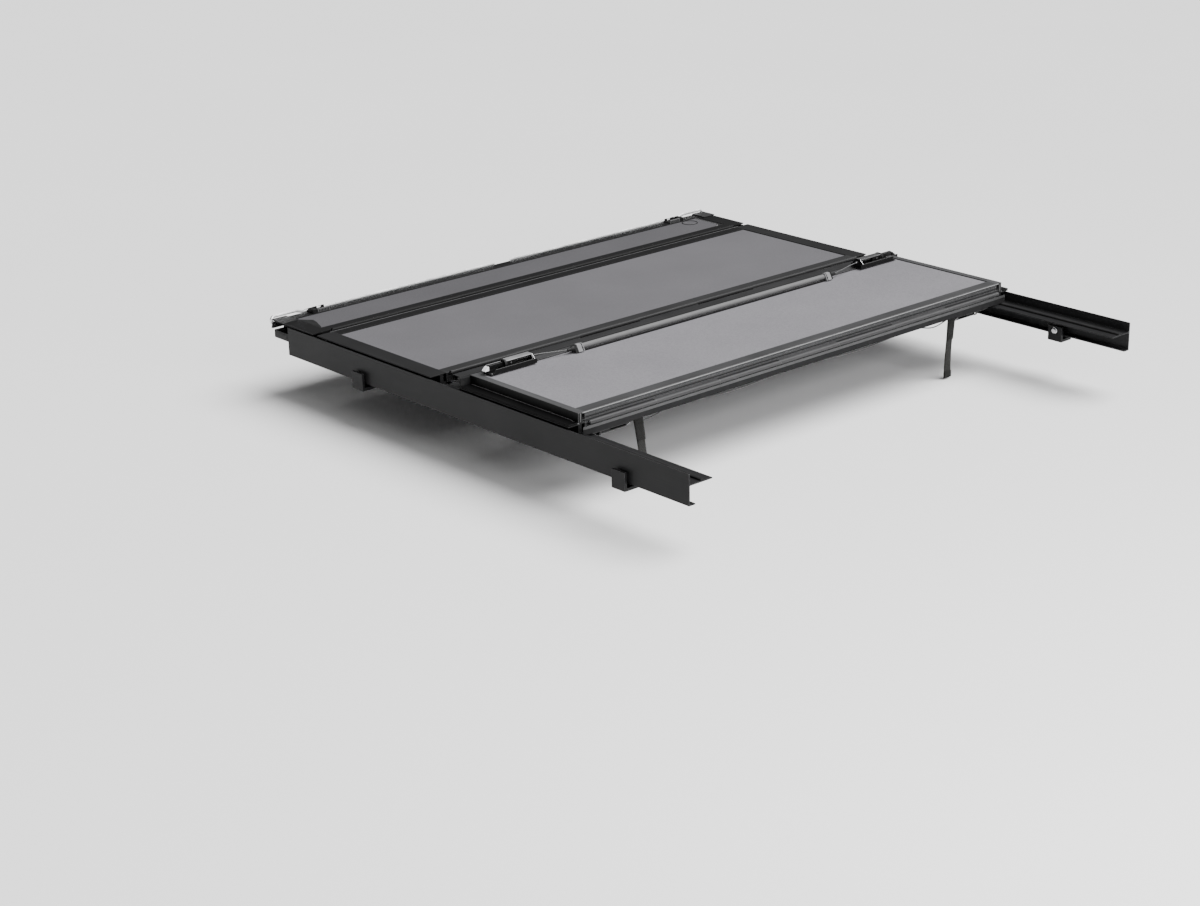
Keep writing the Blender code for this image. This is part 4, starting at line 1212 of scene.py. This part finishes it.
def front_strips():
    """A painted shadow along the left end of the front panel's skin, a dark inlay at its right end edged with a pale
    bead that is a painted highlight, and a ring on its right.
    """
    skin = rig.box("front_panel_board")[1].z
    span = (skin - 0.0002, skin + 0.0004)
    # Painted shadow: a dark wedge between the skin and the frame on the left.
    wedge = [(-SKIN_END, -0.0080), (-SKIN_END, SKIN_REAR), (-0.7400, -0.1060), (-0.7240, -0.0640),
             (-0.7190, -0.0400)]
    solid("front_panel_left_inlay", wedge, span, flat, RUBBER, "base", 0.0002)
    turn = arc((INLAY_EDGE - INLAY_CORNER, SKIN_REAR + INLAY_CORNER + 0.004), INLAY_CORNER, 0, -80, 10)
    line = [(INLAY_EDGE, INLAY_START)] + turn
    inlay = [(SKIN_END, INLAY_START)] + line + [(turn[-1][0], SKIN_REAR), (SKIN_END, SKIN_REAR)]
    solid("front_panel_right_inlay", inlay, span, flat, RUBBER, "base", 0.0002)
    # Painted highlight: a pale bead along the right inlay's edge.
    bead = [(x, y, skin + 0.0004) for x, y in line]
    curve("front_panel_right_bead", bead, 0.0006, BRIGHT_HIGHLIGHT, "base", 2)
    ring = [(x, y, skin + 0.0002) for x, y in arc(RING_CENTRE, RING_RADIUS, 0, 360, 32)]
    curve("front_panel_right_ring", ring, 0.0012, RUBBER, "base", 2)


HINGE_HIGHLIGHT_PLACE = (-0.1692, 0.0481)
STRIP_SPAN = (-0.440, 0.440)
STRIP_LOW = (-0.8236, 0.0728)
STRIP_HIGH = (-0.8196, 0.0776)


def hinge_highlight_bead():
    """A thin light bead along the second panel's front edge, beside the hinge: a painted highlight where the hinge
    knuckles' crowns catch the light.
    """
    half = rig.box("second_panel_board")[1].x
    # Painted highlight: a thin pale bead where the hinge knuckles catch the light.
    line = [(x, *HINGE_HIGHLIGHT_PLACE) for x in (-half, 0.0, half)]
    curve("second_panel_front_bead", line, 0.0009, DIM_HIGHLIGHT, "second_panel", 2)


def tube_strip():
    """A black strip along the near underside of the release tube: a painted contact shadow."""
    # Painted shadow: a black strip where the tube's contact shadow falls.
    outline = [STRIP_LOW, (STRIP_HIGH[0], STRIP_LOW[1]), STRIP_HIGH, (STRIP_LOW[0], STRIP_HIGH[1])]
    solid("release_tube_strip", outline, STRIP_SPAN, across, BLACK_PLASTIC, "tail_panel", 0.0004)


def tail_flange_highlights():
    """A pale bead at the root of each tail panel flange, which curls round behind the hinge: a painted highlight along
    the flange's edge.
    """
    root = 0.7690
    height = 0.0529
    line = [(root, -0.780, height), (root, -1.0, height), (root, -1.1480, height), (0.7708, -1.1590, 0.0518),
            (0.7714, -1.1660, 0.0504), (0.7704, -1.1720, 0.0495), (0.7672, -1.1762, 0.0490)]
    # Painted highlight: pale beads along the flange edges, thicker where they curl down at the rear.
    for side, word in SIDES:
        points = [(side * x, y, z) for x, y, z in line]
        curve(f"tail_panel_{word}_trim", points, 0.0007, BRIGHT_HIGHLIGHT, "tail_panel", 3)
        curve(f"tail_panel_{word}_trim_end", points[4:], 0.0013, BRIGHT_HIGHLIGHT, "tail_panel", 3)


REAR_HALF = 0.7560
PLUG_END = 0.7660
PLUG_HEIGHTS = (0.0500, 0.0738)


def rear_plugs_and_painted_light():
    """Strips on the folded hinge's rear faces, painting light and shade: a pale edge highlight, a lit rib and a shaded
    groove, a lit grey band above painted shade on the third panel, and end plugs with pale glints.
    """
    backs = {
        "third_panel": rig.box("third_panel_rear_bar")[0].y,
        "tail_panel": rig.box("tail_panel_left_bar")[0].y,
    }
    strip = (-REAR_HALF, REAR_HALF)
    whole = (-PLUG_END, PLUG_END)
    # Painted light and shade: the groove and skirt strips are painted shade, the rib and band strips painted
    # highlights.
    pieces = (
        ("tail_panel", "rear_groove", (0.0590, 0.0612), strip, 0.0003, RUBBER),
        ("tail_panel", "rear_rib", (0.0546, 0.0562), strip, 0.0005, DIM_HIGHLIGHT),
        ("third_panel", "rear_band", (0.0362, 0.0428), whole, 0.0005, DIM_HIGHLIGHT),
        ("third_panel", "rear_skirt", (0.0223, 0.0352), whole, 0.0004, RUBBER),
        ("tail_panel", "left_plug", PLUG_HEIGHTS, (-PLUG_END, -REAR_HALF), 0.0006, BLACK_PLASTIC),
        ("tail_panel", "right_plug", PLUG_HEIGHTS, (REAR_HALF, PLUG_END), 0.0006, BLACK_PLASTIC),
    )
    for panel, part, (low, high), span, thick, material in pieces:
        back = backs[panel]
        outline = [(back - thick, low), (back + 0.0002, low), (back + 0.0002, high), (back - thick, high)]
        solid(f"{panel}_{part}", outline, span, across, material, panel, 0.00015)
    rear = backs["tail_panel"]
    # Painted highlights: pale glints up the end plugs.
    for side, word in SIDES:
        x = side * (REAR_HALF + PLUG_END) / 2
        line = [(x, rear - 0.0006, z) for z in (0.0510, 0.0620, 0.0728)]
        curve(f"tail_panel_{word}_plug_glint", line, 0.0007, BRIGHT_HIGHLIGHT, "tail_panel", 2)
    # Painted highlight: a pale bead along the tail panel's rear top edge.
    line = [(x, rear - 0.0002, 0.0726) for x in (-REAR_HALF + 0.001, 0.0, REAR_HALF - 0.001)]
    curve("tail_panel_rear_edge", line, 0.0010, BRIGHT_HIGHLIGHT, "tail_panel", 3)


CLAMP_FACE = 0.770
BOLT_END = 0.7965
BOLT_HEIGHT = -0.022
THREADS = 18
THREAD_PITCH = 0.00135


def clamp_bolts():
    """A hexagon bolt through each rail clamp's inner leg, with its washer, tightened on the rail."""
    face = CLAMP_FACE
    head = [(0.0, face - 0.0071), (0.0062, face - 0.0071), (0.0069, face - 0.0065),
            (0.0069, face - 0.0017), (0.0, face - 0.0017)]
    washer = [(0.0, face - 0.0016), (0.0085, face - 0.0016), (0.0085, face - 0.0001), (0.0, face - 0.0001)]
    shank = [(0.0, face - 0.0001), (0.0040, face - 0.0001)]
    for turn in range(THREADS):
        at = face + 0.0008 + turn * THREAD_PITCH
        shank += [(0.0040, at), (0.0035, at + 0.00065)]
    shank += [(0.0035, BOLT_END), (0.0, BOLT_END)]
    for side, word in SIDES:
        for number in (1, 2):
            node = f"{word}_rail_clamp_{number}"
            mid = centre_of(node).y
            for part, profile, steps in (("head", head, 6), ("washer", washer, 24), ("shank", shank, 20)):
                made = turned(f"{node}_bolt_{part}", profile,
                              lambda a, b, c: (side * c, mid + a, BOLT_HEIGHT + b), steps,
                              ZINC, "base", 20)
                if part != "shank":
                    soften(made, 0.0003)


GASKET_MARGIN = 0.0094


def gasket(panel, body):
    """A thin rubber bead that closes the joint between a board and its frame."""
    low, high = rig.box(f"{panel}_board")
    inner_low = (low.x + GASKET_MARGIN, low.y + GASKET_MARGIN)
    inner_high = (high.x - GASKET_MARGIN, high.y - GASKET_MARGIN)
    section = ((0.0002, 0.00005), (0.0002, 0.0008), (0.0010, 0.0010), (0.0018, 0.0008), (0.0024, 0.00005))
    for face, z, way in (("top", high.z, 1), ("bottom", low.z, -1)):
        surface = bmesh.new()
        rings = []
        for inset, rise in section:
            corners = rounded((inner_low[0] + inset, inner_low[1] + inset),
                              (inner_high[0] - inset, inner_high[1] - inset), 0.0040 - inset, 5)
            rings.append([surface.verts.new((x, y, z + way * rise)) for x, y in corners])
        count = len(rings[0])
        for nearer, farther in zip(rings, rings[1:] + rings[:1]):
            for step in range(count):
                other = (step + 1) % count
                surface.faces.new((nearer[step], nearer[other], farther[other], farther[step]))
        add(f"{panel}_{face}_gasket", surface, RUBBER, body, 70)


# Camera, lights and floor


def make_camera():
    data = bpy.data.cameras.new("camera")
    data.sensor_width = SENSOR_WIDTH
    data.lens = CAMERA_LENS
    data.clip_end = 200
    camera = link(bpy.data.objects.new("camera", data))
    turn = Matrix.Rotation(-CAMERA_YAW, 4, "Z") @ Matrix.Rotation(math.pi / 2 - CAMERA_PITCH, 4, "X")
    camera.matrix_world = Matrix.Translation(CAMERA_PLACE) @ turn @ Matrix.Rotation(CAMERA_ROLL, 4, "Z")
    bpy.context.scene.camera = camera


def facing(direction):
    return Vector(direction).to_track_quat("-Z", "Y").to_euler()


def area_light(name, place, target, size, power):
    data = bpy.data.lights.new(name, "AREA")
    data.shape = "RECTANGLE"
    data.size, data.size_y = size
    data.energy = power
    light = link(bpy.data.objects.new(name, data))
    light.location = place
    light.rotation_euler = facing(Vector(target) - Vector(place))


def make_studio():
    floor_height = CAD_BOX[0][2] - FLOOR_DROP
    surface = bmesh.new()
    half = FLOOR_SIZE / 2
    corners = [(-half, -half), (half, -half), (half, half), (-half, half)]
    surface.faces.new([surface.verts.new((x, y, floor_height)) for x, y in corners])
    mesh = bpy.data.meshes.new("floor")
    surface.to_mesh(mesh)
    surface.free()
    floor = link(bpy.data.objects.new("floor", mesh))
    finish = Finish("studio_floor", (0.86, 0.86, 0.86), 0.85, specular=0.2)
    finish.brighten(finish.noise(0.8, 2.0), 0.99, 1.01)
    mesh.materials.append(finish.done())
    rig.stage(floor)
    world = bpy.data.worlds.new("studio")
    world.use_nodes = True
    background = world.node_tree.nodes["Background"]
    background.inputs["Color"].default_value = (1, 1, 1, 1)
    background.inputs["Strength"].default_value = WORLD_STRENGTH
    bpy.context.scene.world = world
    data = bpy.data.lights.new("soft_sun", "SUN")
    data.energy = SUN_STRENGTH
    data.angle = SUN_ANGLE
    sun = link(bpy.data.objects.new("soft_sun", data))
    sun.rotation_euler = facing(SUN_DIRECTION)
    area_light("rear_fill", (-0.5, -4.5, 1.6), COVER_CENTRE, (3.0, 1.5), FILL_POWER)


def build():
    make_camera()
    make_studio()
    dress_all()
    for panel in ("third_panel", "tail_panel"):
        for side, word in SIDES:
            latch(panel, word, side)
    release_clips()
    tail_cable()
    third_cable()
    for _, word in SIDES:
        pull_strap(word)
    strap_plates()
    rod_clips()
    header_caps()
    front_strips()
    hinge_highlight_bead()
    tube_strip()
    tail_flange_highlights()
    rear_plugs_and_painted_light()
    clamp_bolts()
    gasket("front_panel", "base")
    for panel in ("second_panel", "third_panel", "tail_panel"):
        gasket(panel, panel)


build()

with open("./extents.json", "w") as file:
    visual_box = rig.bounds()
    json.dump({"cad": [list(corner) for corner in CAD_BOX], "visual": [list(corner) for corner in visual_box]}, file)
